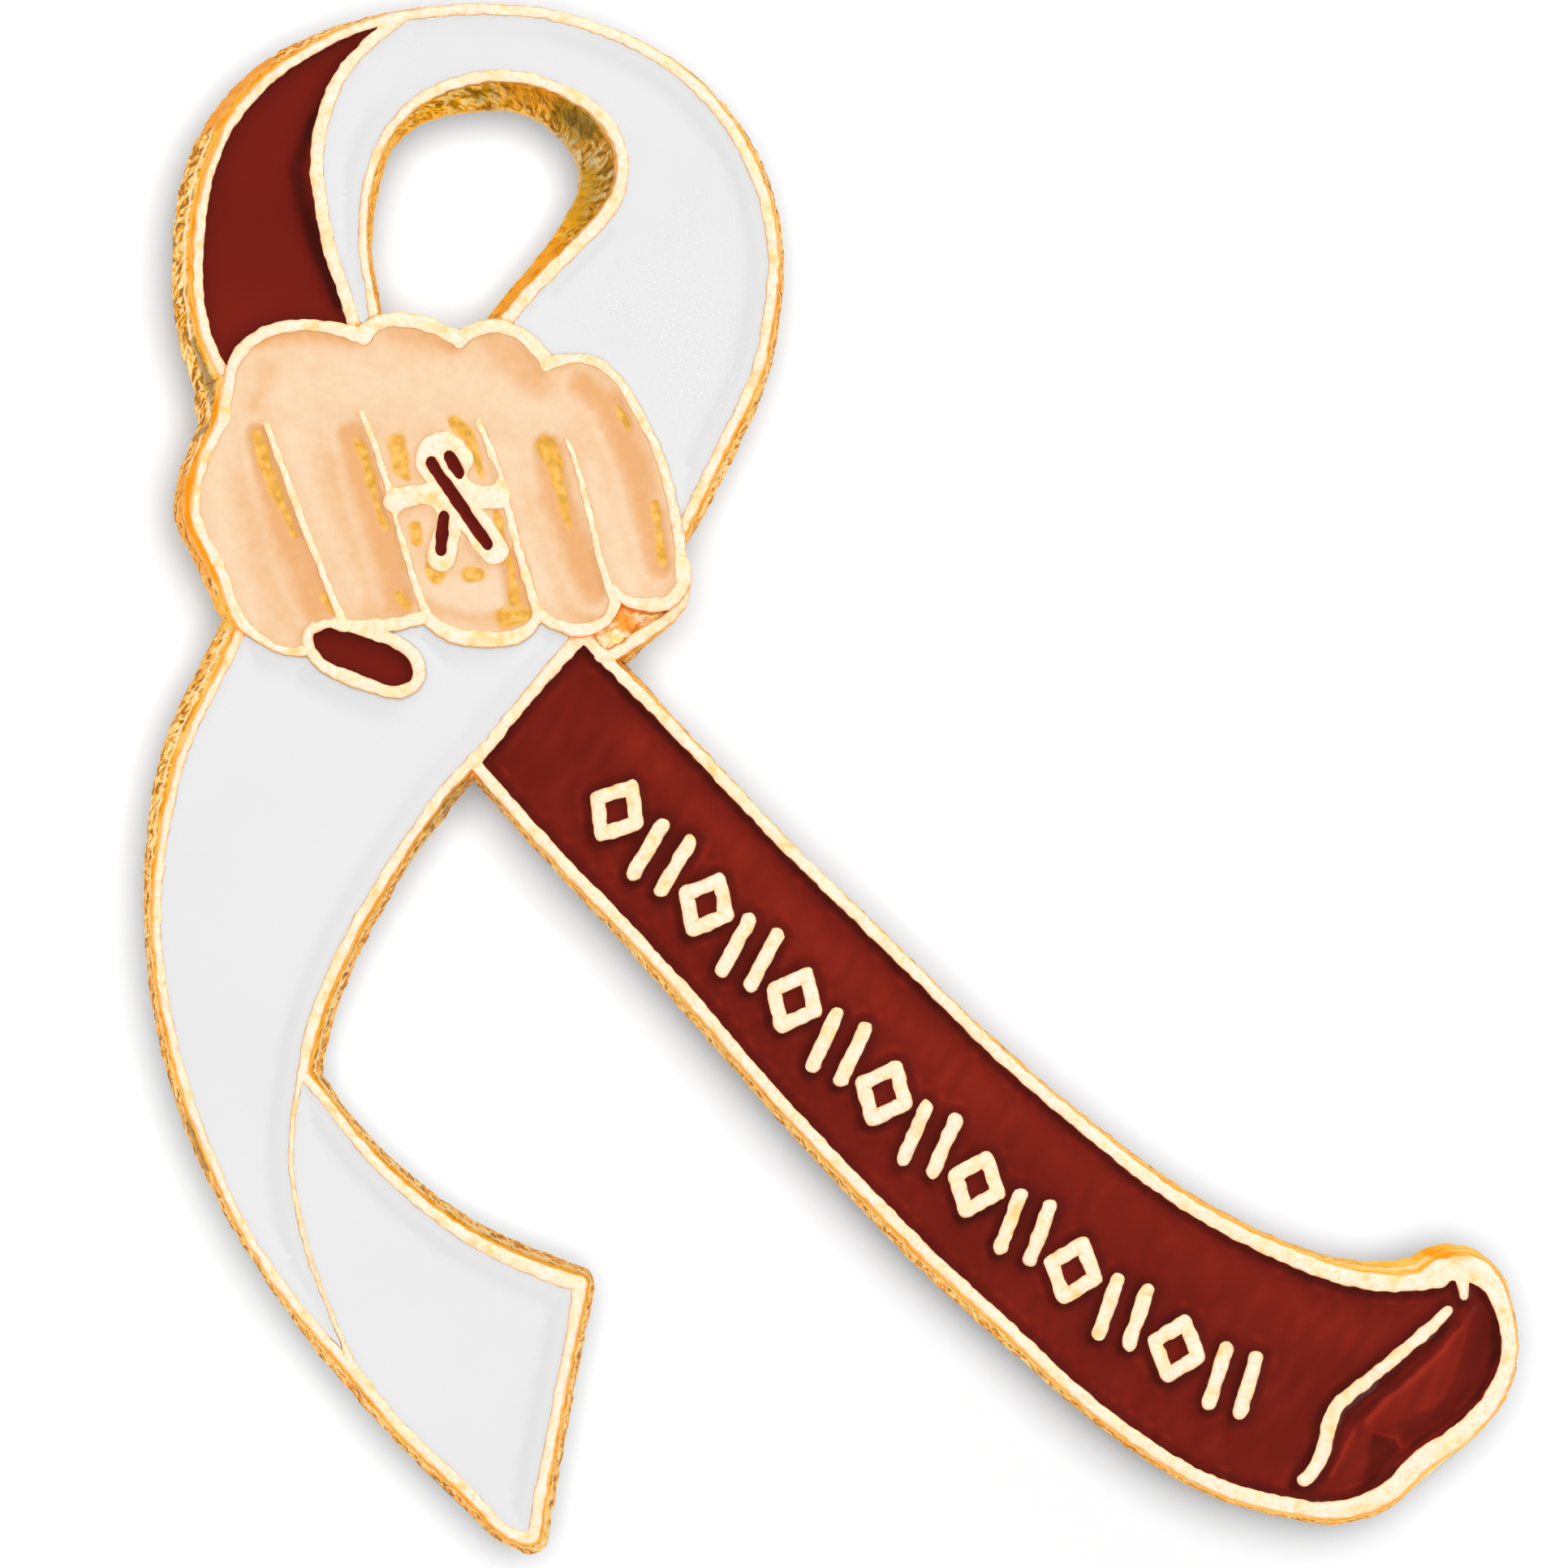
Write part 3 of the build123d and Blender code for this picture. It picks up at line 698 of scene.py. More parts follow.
def clouds(tree, place, scale, detail=2, bend=0.0):
    """Soft uneven noise over a place."""
    return wired(tree, "ShaderNodeTexNoise",
                 {0: place, "Scale": scale, "Detail": detail, "Distortion": bend}).outputs["Fac"]


def ramp_of(tree, source, stops):
    """A colour ramp over a value."""
    node = wired(tree, "ShaderNodeValToRGB", {0: source})
    stops = [(spot, (*colour, 1)) for spot, colour in stops]
    node.color_ramp.elements[0].position, node.color_ramp.elements[0].color = stops[0]
    node.color_ramp.elements[1].position, node.color_ramp.elements[1].color = stops[-1]
    for spot, colour in stops[1:-1]:
        node.color_ramp.elements.new(spot).color = colour
    return node.outputs["Color"]


def mixed(tree, share, first, second, blend="MIX"):
    """One colour over another."""
    node = node_at(tree, "ShaderNodeMix", data_type="RGBA", blend_type=blend)
    for source, name in ((share, "Factor"), (first, "A"), (second, "B")):
        socket = next(socket for socket in node.inputs if socket.name == name and socket.enabled)
        if isinstance(source, bpy.types.NodeSocket):
            tree.links.new(source, socket)
        elif isinstance(source, tuple):
            socket.default_value = (*source, 1)
        else:
            socket.default_value = source
    return next(socket for socket in node.outputs if socket.enabled)


gilt, tree, shader = finish_named("gilt_metal")
shader.inputs["Specular Tint"].default_value = (1.0, 0.6, 0.15, 1)
place = node_at(tree, "ShaderNodeTexCoord").outputs["Object"]
own = {mark: mark_on(tree, mark) for mark in marks if mark != "struck"}
speckle = clouds(tree, place, 9000, 3)
spots = clouds(tree, place, 2600, 5)
blotch = clouds(tree, place, 420, 3)
mottle = clouds(tree, place, 1500, 4)
spot = slanted(tree, own["along"], own["rise"])
hatch = clouds(tree, spot, 6.5, 2, 1.2)
streak_x = maths(tree, "MULTIPLY", own["along"], 0.25)
streak_spot = wired(tree, "ShaderNodeCombineXYZ", {0: streak_x, 1: own["rise"]}).outputs[0]
streaks = clouds(tree, streak_spot, 6.0, 3)
face_tone = ramp_of(tree, spots, (
    (0.3, (1.0, 0.58, 0.24)), (0.42, (1.0, 0.72, 0.48)), (0.6, (1.0, 0.76, 0.62))))
rough_tone = ramp_of(tree, hatch, (
    (0.4, (0.3, 0.12, 0.0)), (0.46, (0.9, 0.38, 0.01)),
    (0.53, (1.0, 0.58, 0.06)), (0.59, (1.0, 0.92, 0.62))))
pale_tone = ramp_of(tree, streaks, (
    (0.35, (0.95, 0.56, 0.08)), (0.5, (1.0, 0.7, 0.2)), (0.65, (1.0, 0.82, 0.45))))
smooth_tone = ramp_of(tree, streaks, (
    (0.35, (0.85, 0.36, 0.03)), (0.5, (1.0, 0.56, 0.13)), (0.65, (1.0, 0.78, 0.4))))
grain_share = mapped(tree, own["grain"], 0.2, 0.6)
smooth_tone = mixed(tree, own["pale"], smooth_tone, pale_tone)
wall_tone = mixed(tree, grain_share, smooth_tone, rough_tone)
warmth = ramp_of(tree, blotch, ((0.38, (1.0, 0.8, 0.5)), (0.5, (1.0, 0.95, 0.85)), (0.62, (1.0, 1.0, 0.9))))
wall_tone = mixed(tree, 1.0, wall_tone, warmth, blend="MULTIPLY")
# Painted highlight: a thin cream line near the crest of the side wall and another near its foot.
painted_crest_highlight = ramp_of(tree, own["wall"], (
    (0.24, (0.0, 0.0, 0.0)), (0.28, (1.0, 1.0, 1.0)), (0.33, (1.0, 1.0, 1.0)),
    (0.37, (0.0, 0.0, 0.0)), (0.93, (0.0, 0.0, 0.0)), (0.98, (0.8, 0.8, 0.8))))
wall_tone = mixed(tree, painted_crest_highlight, wall_tone, (1.0, 0.82, 0.56))
palm_tone = ramp_of(tree, mottle, (
    (0.38, (0.9, 0.36, 0.05)), (0.46, (0.96, 0.6, 0.28)),
    (0.52, (1.0, 0.78, 0.55)), (0.62, (1.0, 0.72, 0.3))))
edge_share = mapped(tree, own["wall"], 0.0, 0.1)
flecks = mapped(tree, speckle, 0.54, 0.7, 0.0, 0.6)
face_tone = mixed(tree, flecks, face_tone, (1.0, 0.6, 0.26))
creases = clouds(tree, place, 1700, 3, 0.6)
creases = maths(tree, "PINGPONG", creases, 0.07)
# Painted shade: the crinkle lines on the faces are tinted deeper orange, as if shaded; the same lines give
# the bump below.
painted_crease_shade = mapped(tree, creases, 0.0, 0.014, 0.42, 0.0)
face_tone = mixed(tree, painted_crease_shade, face_tone, (1.0, 0.5, 0.2))
# Painted shade: the rounded shoulders of the struck lines are tinted deeper orange in broken patches.
painted_shoulder_shade = maths(tree, "MULTIPLY", spots, own["edge"])
painted_shoulder_shade = mapped(tree, painted_shoulder_shade, 0.25, 0.55, 0.0, 0.75)
face_tone = mixed(tree, painted_shoulder_shade, face_tone, (0.95, 0.5, 0.14))
tone = mixed(tree, edge_share, face_tone, wall_tone)
tone = mixed(tree, own["pitted"], tone, palm_tone)
for mark, colour in (("orange", (0.95, 0.37, 0.02)), ("yellow", (1.0, 0.56, 0.03)),
                     ("olive", (0.16, 0.115, 0.001)), ("brown", (0.3, 0.15, 0.06))):
    torn = maths(tree, "MULTIPLY_ADD", hatch, 1.1, own[mark])
    share = mapped(tree, torn, 0.9, 1.08, 0.0, 0.85)
    share = maths(tree, "MULTIPLY", share, own[mark])
    if mark in ("olive", "brown"):
        share = maths(tree, "MULTIPLY", share, grain_share)
    tone = mixed(tree, share, tone, colour)
# Painted light: the walls of the eye are lifted towards pale gold, brighter than the lighting leaves them.
painted_eye_light_share = maths(tree, "MULTIPLY", own["sheltered"], 0.2)
tone = mixed(tree, painted_eye_light_share, tone, (1.0, 0.82, 0.42))
outside = node_at(tree, "ShaderNodeNewGeometry").outputs["True Normal"]
facing = wired(tree, "ShaderNodeSeparateXYZ", {0: outside}).outputs["Z"]
back_share = mapped(tree, facing, -0.97, -0.85, 1.0, 0.0)
back_tone = ramp_of(tree, speckle, (
    (0.38, (0.8, 0.5, 0.16)), (0.5, (0.95, 0.66, 0.28)), (0.62, (1.0, 0.78, 0.42))))
tone = mixed(tree, back_share, tone, back_tone)
tree.links.new(tone, shader.inputs["Base Color"])
plated = mapped(tree, own["grain"], 0.2, 1.0, 1.0, 0.7)
plated = maths(tree, "MULTIPLY_ADD", own["sheltered"], 0.25, plated)
tree.links.new(plated, shader.inputs["Metallic"])
shine = mapped(tree, spots, 0.0, 1.0, 0.36, 0.5)
shine = maths(tree, "MULTIPLY_ADD", own["sheltered"], -0.1, shine)
tree.links.new(shine, shader.inputs["Roughness"])
crinkle = maths(tree, "MULTIPLY_ADD", speckle, 0.45, spots)
crinkle = maths(tree, "MULTIPLY_ADD", creases, 5.0, crinkle)
height = wired(tree, "ShaderNodeMix", {0: grain_share, 2: crinkle, 3: hatch}, data_type="FLOAT").outputs[0]
depth = mapped(tree, own["grain"], 0.0, 1.0, 0.35, 1.0)
relief = wired(tree, "ShaderNodeBump", {"Strength": depth, "Distance": 0.00005, "Height": height})
tree.links.new(relief.outputs["Normal"], shader.inputs["Normal"])
shaped_by(plate, casting, {"Depth": 0.055 * MM, "Mark size": 0.18, "Unevenness": 0.03 * MM, "Seed": 3.0,
                           "Finish": gilt})
plate.visible_diffuse = False
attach(plate, "root")
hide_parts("plate")


# White enamel fills the loop, the left tail and its folded end. It is a hard resin colour poured
# between the metal lines, level with a glossy skin that climbs a little where it meets them.
seam = 0.02


def widened(run, reach):
    """A closed line moved away from the area on its left."""
    ahead = np.roll(run, -1, axis=0) - run
    ahead /= np.linalg.norm(ahead, axis=1)[:, None]
    along = ahead + np.roll(ahead, 1, axis=0)
    along /= np.linalg.norm(along, axis=1)[:, None]
    stretch = reach / np.maximum(0.5, (along * ahead).sum(axis=1))
    return run + np.column_stack([along[:, 1], -along[:, 0]]) * stretch[:, None]


all_rows = (0.03, 0.07, 0.13, 0.22, 0.36)
climb = 0.007
climb_width = 0.11
shade_shift = 0.05
edge_margin = 0.05


def poured(name, rows=all_rows, step=0.2, soft=0.09, shape=None, fine=None):
    """The fill of one pocket: a top that climbs a little at its edge, a short wall and a flat underside."""
    solid_points, solid_facets = facets(name)
    tree = BVHTree.FromPolygons(solid_points.tolist(), solid_facets.tolist())
    floor = solid_points[:, 2].min()
    level = solid_points[:, 2].max()
    edge = []
    for line in flat_lines(name, level):
        edge += spans(widened(line, seam), line_step)
    lines = tree_of(np.vstack(edge))
    inner = rows_beside(edge, rows)
    low, high = solid_points.min(axis=0), solid_points.max(axis=0)
    inner += [point for point in hexes(low, high, step) if gap_to(lines, point) > max(rows)]
    if fine:
        inner += [point for point in hexes(*fine) if gap_to(lines, point) > edge_margin]
    flat, faces, areas = knit(edge, thinned(inner, 0.008))
    kept = []
    for members, found in zip(areas, measured(flat, faces, areas, tree)):
        if found is not None:
            kept += [facing_up(flat, faces[number]) for number in members]
    used = sorted({n for face in kept for n in face})
    number_of = {n: place for place, n in enumerate(used)}
    points = []
    marks = {"shade": [], "tone": [], "bare": []}
    for n in used:
        x, y = flat[n]
        gap = gap_to(lines, (x, y))
        nearest = lines.find((x, y, 0))[0]
        side = ((nearest.x - x) / max(gap, 1e-6), (nearest.y - y) / max(gap, 1e-6))
        rise, tone, bare = shape(x, y, gap, side) if shape else (0.0, 0.0, 0.0)
        points.append((x, y, level + climb * math.exp(-gap / climb_width) + rise))
        marks["shade"].append(math.exp(-gap_to(lines, (x + shade_shift, y + shade_shift)) / soft))
        marks["tone"].append(tone)
        marks["bare"].append(bare)
    faces = [[number_of[n] for n in face] for face in kept]
    sides = border(faces)
    below = {}
    for a, b in sides:
        for n in (a, b):
            if n not in below:
                below[n] = len(points)
                points.append((points[n][0], points[n][1], floor))
                for mark in marks.values():
                    mark.append(mark[n])
        faces.append([b, a, below[a], below[b]])
    under = chained([(below[b], below[a]) for a, b in sides])
    faces += underside(under, points, tree, down=True)
    return built(name + "_poured", points, faces, marks)


white, tree, shader = finish_named("white_enamel")
shader.inputs["Roughness"].default_value = 0.08
place = node_at(tree, "ShaderNodeTexCoord").outputs["Object"]
shade = mark_on(tree, "shade")
cloud = clouds(tree, place, 260)
tint = ramp_of(tree, cloud, ((0.3, (0.815, 0.815, 0.82)), (0.7, (0.835, 0.835, 0.835))))
# Painted shade: the white turns grey beside the lines on its pocket's right-hand side and along a few
# strokes.
grey = maths(tree, "MULTIPLY", mark_on(tree, "tone"), 0.6)
tint = mixed(tree, grey, tint, (0.7, 0.7, 0.72))
tree.links.new(mixed(tree, shade, tint, (0.76, 0.75, 0.74)), shader.inputs["Base Color"])
# Strokes of painted grey shade in the white.
grey_shade_strokes = (
    ((-10.05, 10.6, 0.07), (-9.85, 9.6, 0.08)), ((-4.6, 11.1, 0.1), (-5.7, 9.9, 0.1)),
    ((-6.4, 8.75, 0.1), (-4.9, 8.3, 0.12)))


def grey_shade_beside_lines(x, y, gap, side):
    """Painted shade in the white: soft grey beside the lines on the right-hand side of its pocket and in a
    few strokes.
    """
    right = min(1.0, max(0.0, 1.5 * (0.93 * side[0] + 0.37 * side[1]) - 0.2))
    return 0.0, max(0.7 * brushed(grey_shade_strokes, x, y), right * math.exp(-((gap - 0.3) / 0.16) ** 2)), 0.0


for name in ("loop_white", "left_tail_white", "folded_end_white"):
    piece = poured(name, shape=grey_shade_beside_lines)
    piece.data.materials.append(white)
    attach(piece, "root")
    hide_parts(name)


# Burgundy enamel fills the loop's left side, the right tail with its folded end, the lozenges of the
# frieze, the thumb nail and the strips of the ring's tiny ribbon. It is the same resin, deep red.
# Painted light and shade: each facet of the folded end gets its own lighter or darker tone.
fold_facet_light = (
    (0.2, ((12.64, -11.32), (13.1, -10.69), (12.62, -12.29), (12.36, -12.77), (11.54, -13.14),
     (10.94, -13.31), (10.69, -13.14), (11.25, -12.67), (11.92, -12.17))),
    (-0.38, ((13.11, -10.69), (13.39, -11.1), (13.58, -11.73), (13.46, -12.17), (12.86, -12.99),
     (11.79, -13.65), (11.57, -13.49), (11.47, -13.17), (12.36, -12.77), (12.62, -12.29))),
    (-0.4, ((12.62, -11.04), (12.8, -11.13), (11.92, -12.07), (11.22, -12.64), (10.66, -13.12),
     (10.34, -13.19), (10.53, -12.99), (11.41, -12.17))),
    (-0.6, ((10.97, -13.33), (11.44, -13.46), (11.54, -13.68), (11.03, -14.31), (10.66, -14.56),
     (10.85, -13.99))))
# Painted highlights along the creases of the folded end.
fold_highlights = (
    ((12.8, -11.16, 0.03), (12.48, -11.6, 0.05), (11.92, -12.14, 0.06), (11.29, -12.67, 0.07),
     (10.85, -13.12, 0.05)), ((10.59, -13.33, 0.05), (10.37, -13.74, 0.07), (10.12, -14.21, 0.04)),
    ((10.94, -13.33, 0.03), (11.44, -13.46, 0.04), (11.53, -13.62, 0.03)),
    ((13.58, -11.79, 0.03), (13.17, -12.67, 0.04), (12.54, -13.17, 0.04), (11.85, -13.68, 0.05),
     (11.47, -13.99, 0.04)))
fold_valleys = (
    ((11.1, -12.45, 0.1), (10.4, -13.05, 0.15)), ((12.25, -11.4, 0.1), (11.75, -11.7, 0.1)),
    ((13.2, -10.8, 0.1), (13.3, -11.45, 0.25), (13.1, -12.3, 0.25), (12.4, -12.85, 0.2),
     (11.6, -13.3, 0.15)), ((11.05, -13.55, 0.15), (10.9, -14.1, 0.25), (11.35, -13.95, 0.15)),
    ((10.1, -14.6, 0.15), (9.45, -14.65, 0.1)))
fold_ridges = (
    ((12.95, -10.85, 0.1), (12.4, -11.6, 0.15), (11.6, -12.35, 0.12), (10.9, -13.05, 0.1),
     (10.8, -13.2, 0.07)), ((10.55, -13.4, 0.08), (10.4, -13.8, 0.08), (10.25, -14.15, 0.06)),
    ((11.3, -13.45, 0.06), (11.4, -13.8, 0.06)),
    ((13.5, -11.6, 0.06), (13.35, -12.2, 0.06), (12.75, -13.0, 0.06), (11.85, -13.6, 0.06)),
    ((11.5, -13.95, 0.06), (11.1, -14.4, 0.06), (10.4, -14.7, 0.06)))
# A painted sheen along the right tail.
broad_sheen = (
    ((-4.2, 0.95, 0.35), (-2.15, -1.35, 0.45), (0.35, -4.0, 0.5), (2.8, -6.25, 0.55), (6.1, -8.65, 0.55),
     (9.1, -10.6, 0.55), (10.8, -11.5, 0.4)),)
# Painted shade in a band beside the loop's dividing line, and a painted highlight streak beside it.
painted_shade_band = (
    ((-9.9, 14.3, 0.1), (-10.69, 13.34, 0.14), (-11.04, 12.43, 0.15), (-10.92, 11.67, 0.15),
     (-10.61, 10.76, 0.16), (-10.15, 9.7, 0.18)),)
painted_red_highlight = (((-10.78, 12.95, 0.06), (-10.72, 12.2, 0.07), (-10.6, 11.55, 0.05)),)


def loop_shade_and_highlight(x, y, gap, side):
    """The loop's burgundy field, with a band of painted shade beside the line that parts it from the white
    and a painted red highlight streak.
    """
    return 0.0, -0.75 * brushed(painted_shade_band, x, y) + 0.5 * brushed(painted_red_highlight, x, y), 0.0


def within(corners, x, y):
    """How far inside a closed outline a place lies; below zero outside it."""
    inside, nearest = False, 9.0
    for (ax, ay), (bx, by) in zip(corners, corners[1:] + corners[:1]):
        if (ay > y) != (by > y) and x < (bx - ax) * (y - ay) / (by - ay) + ax:
            inside = not inside
        nearest = min(nearest, off_stretch((ax, ay), (bx, by), x, y)[1])
    return nearest if inside else -nearest


def fold_light_and_shade(x, y, gap, side):
    """Painted light and shade: the folded end's facets lit and shaded, painted highlights along its creases,
    a painted sheen along the tail, and painted shade and highlight streaks round the figures.
    """
    valley, ridge = brushed(fold_valleys, x, y), brushed(fold_ridges, x, y)
    drawn = noise.noise(Vector((0.83 * x - 0.55 * y, 0.3 * (0.55 * x + 0.83 * y), 0)) * 4.5)
    # Painted shade in a dark halo round the figures and lines, and a painted highlight streak a little
    # further out.
    painted_halo_shade = -0.45 * math.exp(-((gap - 0.1) / 0.11) ** 2) * min(1.0, max(0.1, 0.55 + 1.6 * drawn))
    painted_streak_highlight = 0.5 * math.exp(-((gap - 0.22) / 0.05) ** 2) * min(1.0, max(0.0, 0.25 - 1.8 * drawn))
    tone = 0.26 * brushed(broad_sheen, x, y) + 0.25 * drawn + painted_halo_shade + painted_streak_highlight
    if x > 9.8 and y < -10.4:
        tone += 0.7 * brushed(fold_highlights, x, y)
        for value, corners in fold_facet_light:
            tone += value * min(1.0, max(0.0, 0.5 + within(corners, x, y) / 0.11))
    return 0.004 * ridge - 0.005 * valley, tone, 0.0


burgundy, tree, shader = finish_named("burgundy_enamel")
shader.inputs["Roughness"].default_value = 0.06
shader.inputs["Specular IOR Level"].default_value = 0.25
place = node_at(tree, "ShaderNodeTexCoord").outputs["Object"]
shade = mark_on(tree, "shade")
lift = mark_on(tree, "tone")
cloud = clouds(tree, place, 380, 4)
level = mapped(tree, cloud, 0.3, 0.7, 0.45, 0.57)
level = maths(tree, "MULTIPLY_ADD", lift, 0.5, level)
level = maths(tree, "MULTIPLY_ADD", shade, -0.4, level)
tint = ramp_of(tree, level, (
    (0.0, (0.055, 0.004, 0.002)), (0.5, (0.178, 0.0105, 0.0045)), (1.0, (0.37, 0.024, 0.01))))
tree.links.new(tint, shader.inputs["Base Color"])
drops = [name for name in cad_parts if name.startswith("frieze_drop")]
strips = [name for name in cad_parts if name.startswith("ring_strip")]
shapes = {"right_tail_burgundy": fold_light_and_shade, "loop_burgundy": loop_shade_and_highlight}
folded_part = ((9.8, -15.0), (14.0, -10.4), 0.045)
for name in ["loop_burgundy", "right_tail_burgundy"] + drops + strips + ["thumb_nail"]:
    if name in drops + strips:
        piece = poured(name, rows=all_rows[:1], step=0.1)
    else:
        piece = poured(name, step=0.12, soft=0.13, shape=shapes.get(name),
                       fine=folded_part if name == "right_tail_burgundy" else None)
    piece.data.materials.append(burgundy)
    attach(piece, "root")
    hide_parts(name)


# Peach enamel covers the fist. It is see-through over the gilt metal; the crowns of the fingers are painted
# paler and the valleys beside the ridges deeper and more golden, partly the deeper colour of thicker enamel,
# partly painted light and shade on the relief.
finger_valleys = (
    ((-11.82, 7.0, 0.2), (-11.6, 6.17, 0.26), (-11.1, 4.64, 0.32), (-10.6, 3.5, 0.32)),
    ((-9.91, 7.0, 0.24), (-9.64, 5.95, 0.28), (-9.2, 4.64, 0.3), (-8.93, 3.6, 0.28)),
    ((-5.92, 6.7, 0.25), (-5.71, 5.73, 0.3), (-5.33, 4.64, 0.3), (-5.0, 3.8, 0.26)),
    ((-5.2, 8.0, 0.26), (-4.67, 7.59, 0.28), (-4.12, 6.39, 0.28), (-3.8, 5.19, 0.28), (-3.63, 4.3, 0.22)),
    ((-6.6, 4.4, 0.26), (-6.45, 3.6, 0.26)))
finger_shades = (
    ((-12.1, 5.9, 0.4), (-11.6, 4.6, 0.6), (-11.1, 3.6, 0.6)),
    ((-10.3, 6.3, 0.4), (-9.8, 4.9, 0.5), (-9.4, 3.6, 0.5)),
    ((-6.0, 5.6, 0.4), (-5.6, 4.4, 0.45), (-5.3, 3.6, 0.4)))
knuckle_shades = (
    ((-11.75, 8.9, 0.23), (-10.75, 9.0, 0.2), (-10.0, 8.9, 0.17)),
    ((-9.0, 9.0, 0.17), (-8.45, 8.9, 0.33), (-7.85, 8.75, 0.2)),
    ((-7.05, 8.9, 0.23), (-6.45, 8.4, 0.4), (-6.1, 7.9, 0.26)), ((-11.6, 8.3, 0.26), (-11.85, 7.55, 0.2)),
    ((-8.45, 3.5, 0.17), (-7.55, 3.25, 0.13), (-6.8, 3.2, 0.17)), ((-4.8, 3.1, 0.13), (-5.45, 3.4, 0.17)),
    ((-9.6, 3.4, 0.17), (-8.75, 3.4, 0.17)))
finger_crowns = (
    ((-12.35, 7.55, 0.3), (-12.7, 6.1, 0.3), (-12.35, 4.4, 0.3), (-11.85, 3.25, 0.23)),
    ((-11.1, 6.9, 0.2), (-10.45, 5.1, 0.23), (-9.75, 3.75, 0.17)), ((-8.1, 3.7, 0.5), (-7.1, 3.7, 0.4)),
    ((-6.75, 6.55, 0.23), (-6.3, 4.9, 0.23), (-5.9, 3.7, 0.2)),
    ((-5.05, 6.25, 0.2), (-4.55, 4.6, 0.23), (-4.2, 3.85, 0.17)),
    ((-11.6, 7.9, 0.4), (-9.95, 8.05, 0.5), (-7.8, 8.05, 0.5), (-5.8, 7.4, 0.4)))
thin_places = (
    ((-11.8, 6.95, 0.12), (-11.6, 6.25, 0.12), (-11.35, 5.6, 0.1), (-11.05, 4.9, 0.05)),
    ((-9.75, 6.8, 0.1), (-9.55, 6.25, 0.1), (-9.4, 5.6, 0.08), (-9.2, 5.1, 0.05)),
    ((-8.95, 6.8, 0.22), (-8.9, 6.35, 0.17), (-8.75, 6.1, 0.1)),
    ((-7.8, 7.25, 0.13), (-7.55, 7.0, 0.15), (-7.35, 6.55, 0.1), (-7.25, 6.15, 0.07)),
    ((-8.6, 5.1, 0.13), (-8.55, 4.8, 0.12)),
    ((-8.35, 4.35, 0.08), (-8.15, 4.05, 0.13), (-8.0, 4.15, 0.07)),
    ((-7.5, 4.15, 0.18), (-7.3, 4.15, 0.12)),
    ((-6.95, 5.4, 0.07), (-6.8, 4.9, 0.07), (-6.65, 4.25, 0.08), (-6.55, 3.6, 0.13)),
    ((-6.75, 3.25, 0.2), (-6.3, 3.3, 0.13)),
    ((-5.95, 6.8, 0.2), (-5.75, 6.4, 0.17), (-5.65, 5.9, 0.12), (-5.45, 5.1, 0.07)),
    ((-8.95, 3.75, 0.08), (-8.75, 3.5, 0.1)), ((-10.45, 3.7, 0.08), (-10.25, 3.4, 0.1)),
    ((-4.45, 7.55, 0.07), (-4.25, 7.15, 0.07)), ((-3.7, 5.6, 0.07), (-3.55, 4.4, 0.1)))


def finger_light_and_shade(x, y, gap, side):
    """The long crowns of the fingers, painted lighter, and the valleys beside their ridges, painted deeper,
    each with a painted highlight along its lip.
    """
    off = off_strokes(finger_valleys, x, y)
    valley = max(1 / (1 + off**4), 0.7 * brushed(knuckle_shades, x, y), 0.45 * brushed(finger_shades, x, y))
    # Painted highlight along the lip of each valley.
    lip = math.exp(-((off - 1.5) / 0.25) ** 2)
    crown = brushed(finger_crowns, x, y)
    thin = min(1.0, 1.4 * brushed(thin_places, x, y))
    tone = 0.27 + 0.72 * valley - 0.22 * crown - 0.2 * lip
    return 0.02 * crown - 0.06 * valley - 0.03 * thin, tone, thin


peach, tree, shader = finish_named("peach_enamel")
shader.inputs["Roughness"].default_value = 0.2
place = node_at(tree, "ShaderNodeTexCoord").outputs["Object"]
shade = mark_on(tree, "shade")
lift = mark_on(tree, "tone")
bare = mark_on(tree, "bare")
cloud = clouds(tree, place, 900, 4)
level = mapped(tree, cloud, 0.3, 0.7, -0.1, 0.1)
fine_grain = clouds(tree, place, 5200, 2)
level = maths(tree, "MULTIPLY_ADD", fine_grain, 0.5, level)
level = maths(tree, "SUBTRACT", level, 0.25)
level = maths(tree, "ADD", lift, level)
level = maths(tree, "MULTIPLY_ADD", shade, 0.35, level)
tint = ramp_of(tree, level, ((0.0, (0.9, 0.66, 0.43)), (0.5, (0.86, 0.53, 0.28)), (1.0, (0.8, 0.39, 0.14))))
brown = mapped(tree, shade, 0.45, 1.0, 0.0, 0.15)
tint = mixed(tree, brown, tint, (0.55, 0.27, 0.07))
blots = clouds(tree, place, 2600, 3)
patchy = maths(tree, "MULTIPLY_ADD", blots, 1.4, bare)
halo_share = mapped(tree, patchy, 0.8, 1.35)
patch_share = mapped(tree, patchy, 1.05, 1.5)
halo_share = maths(tree, "MULTIPLY", halo_share, bare)
tint = mixed(tree, halo_share, tint, (0.88, 0.45, 0.13))
worn = ramp_of(tree, fine_grain, (
    (0.36, (0.68, 0.33, 0.015)), (0.5, (0.85, 0.4, 0.025)), (0.64, (0.92, 0.52, 0.1))))
tint = mixed(tree, patch_share, tint, worn)
tree.links.new(tint, shader.inputs["Base Color"])
for name in ("fist_peach", "fingertip_peach"):
    piece = poured(name, rows=all_rows[:3], step=0.09, shape=finger_light_and_shade)
    piece.data.materials.append(peach)
    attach(piece, "root")
    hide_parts(name)


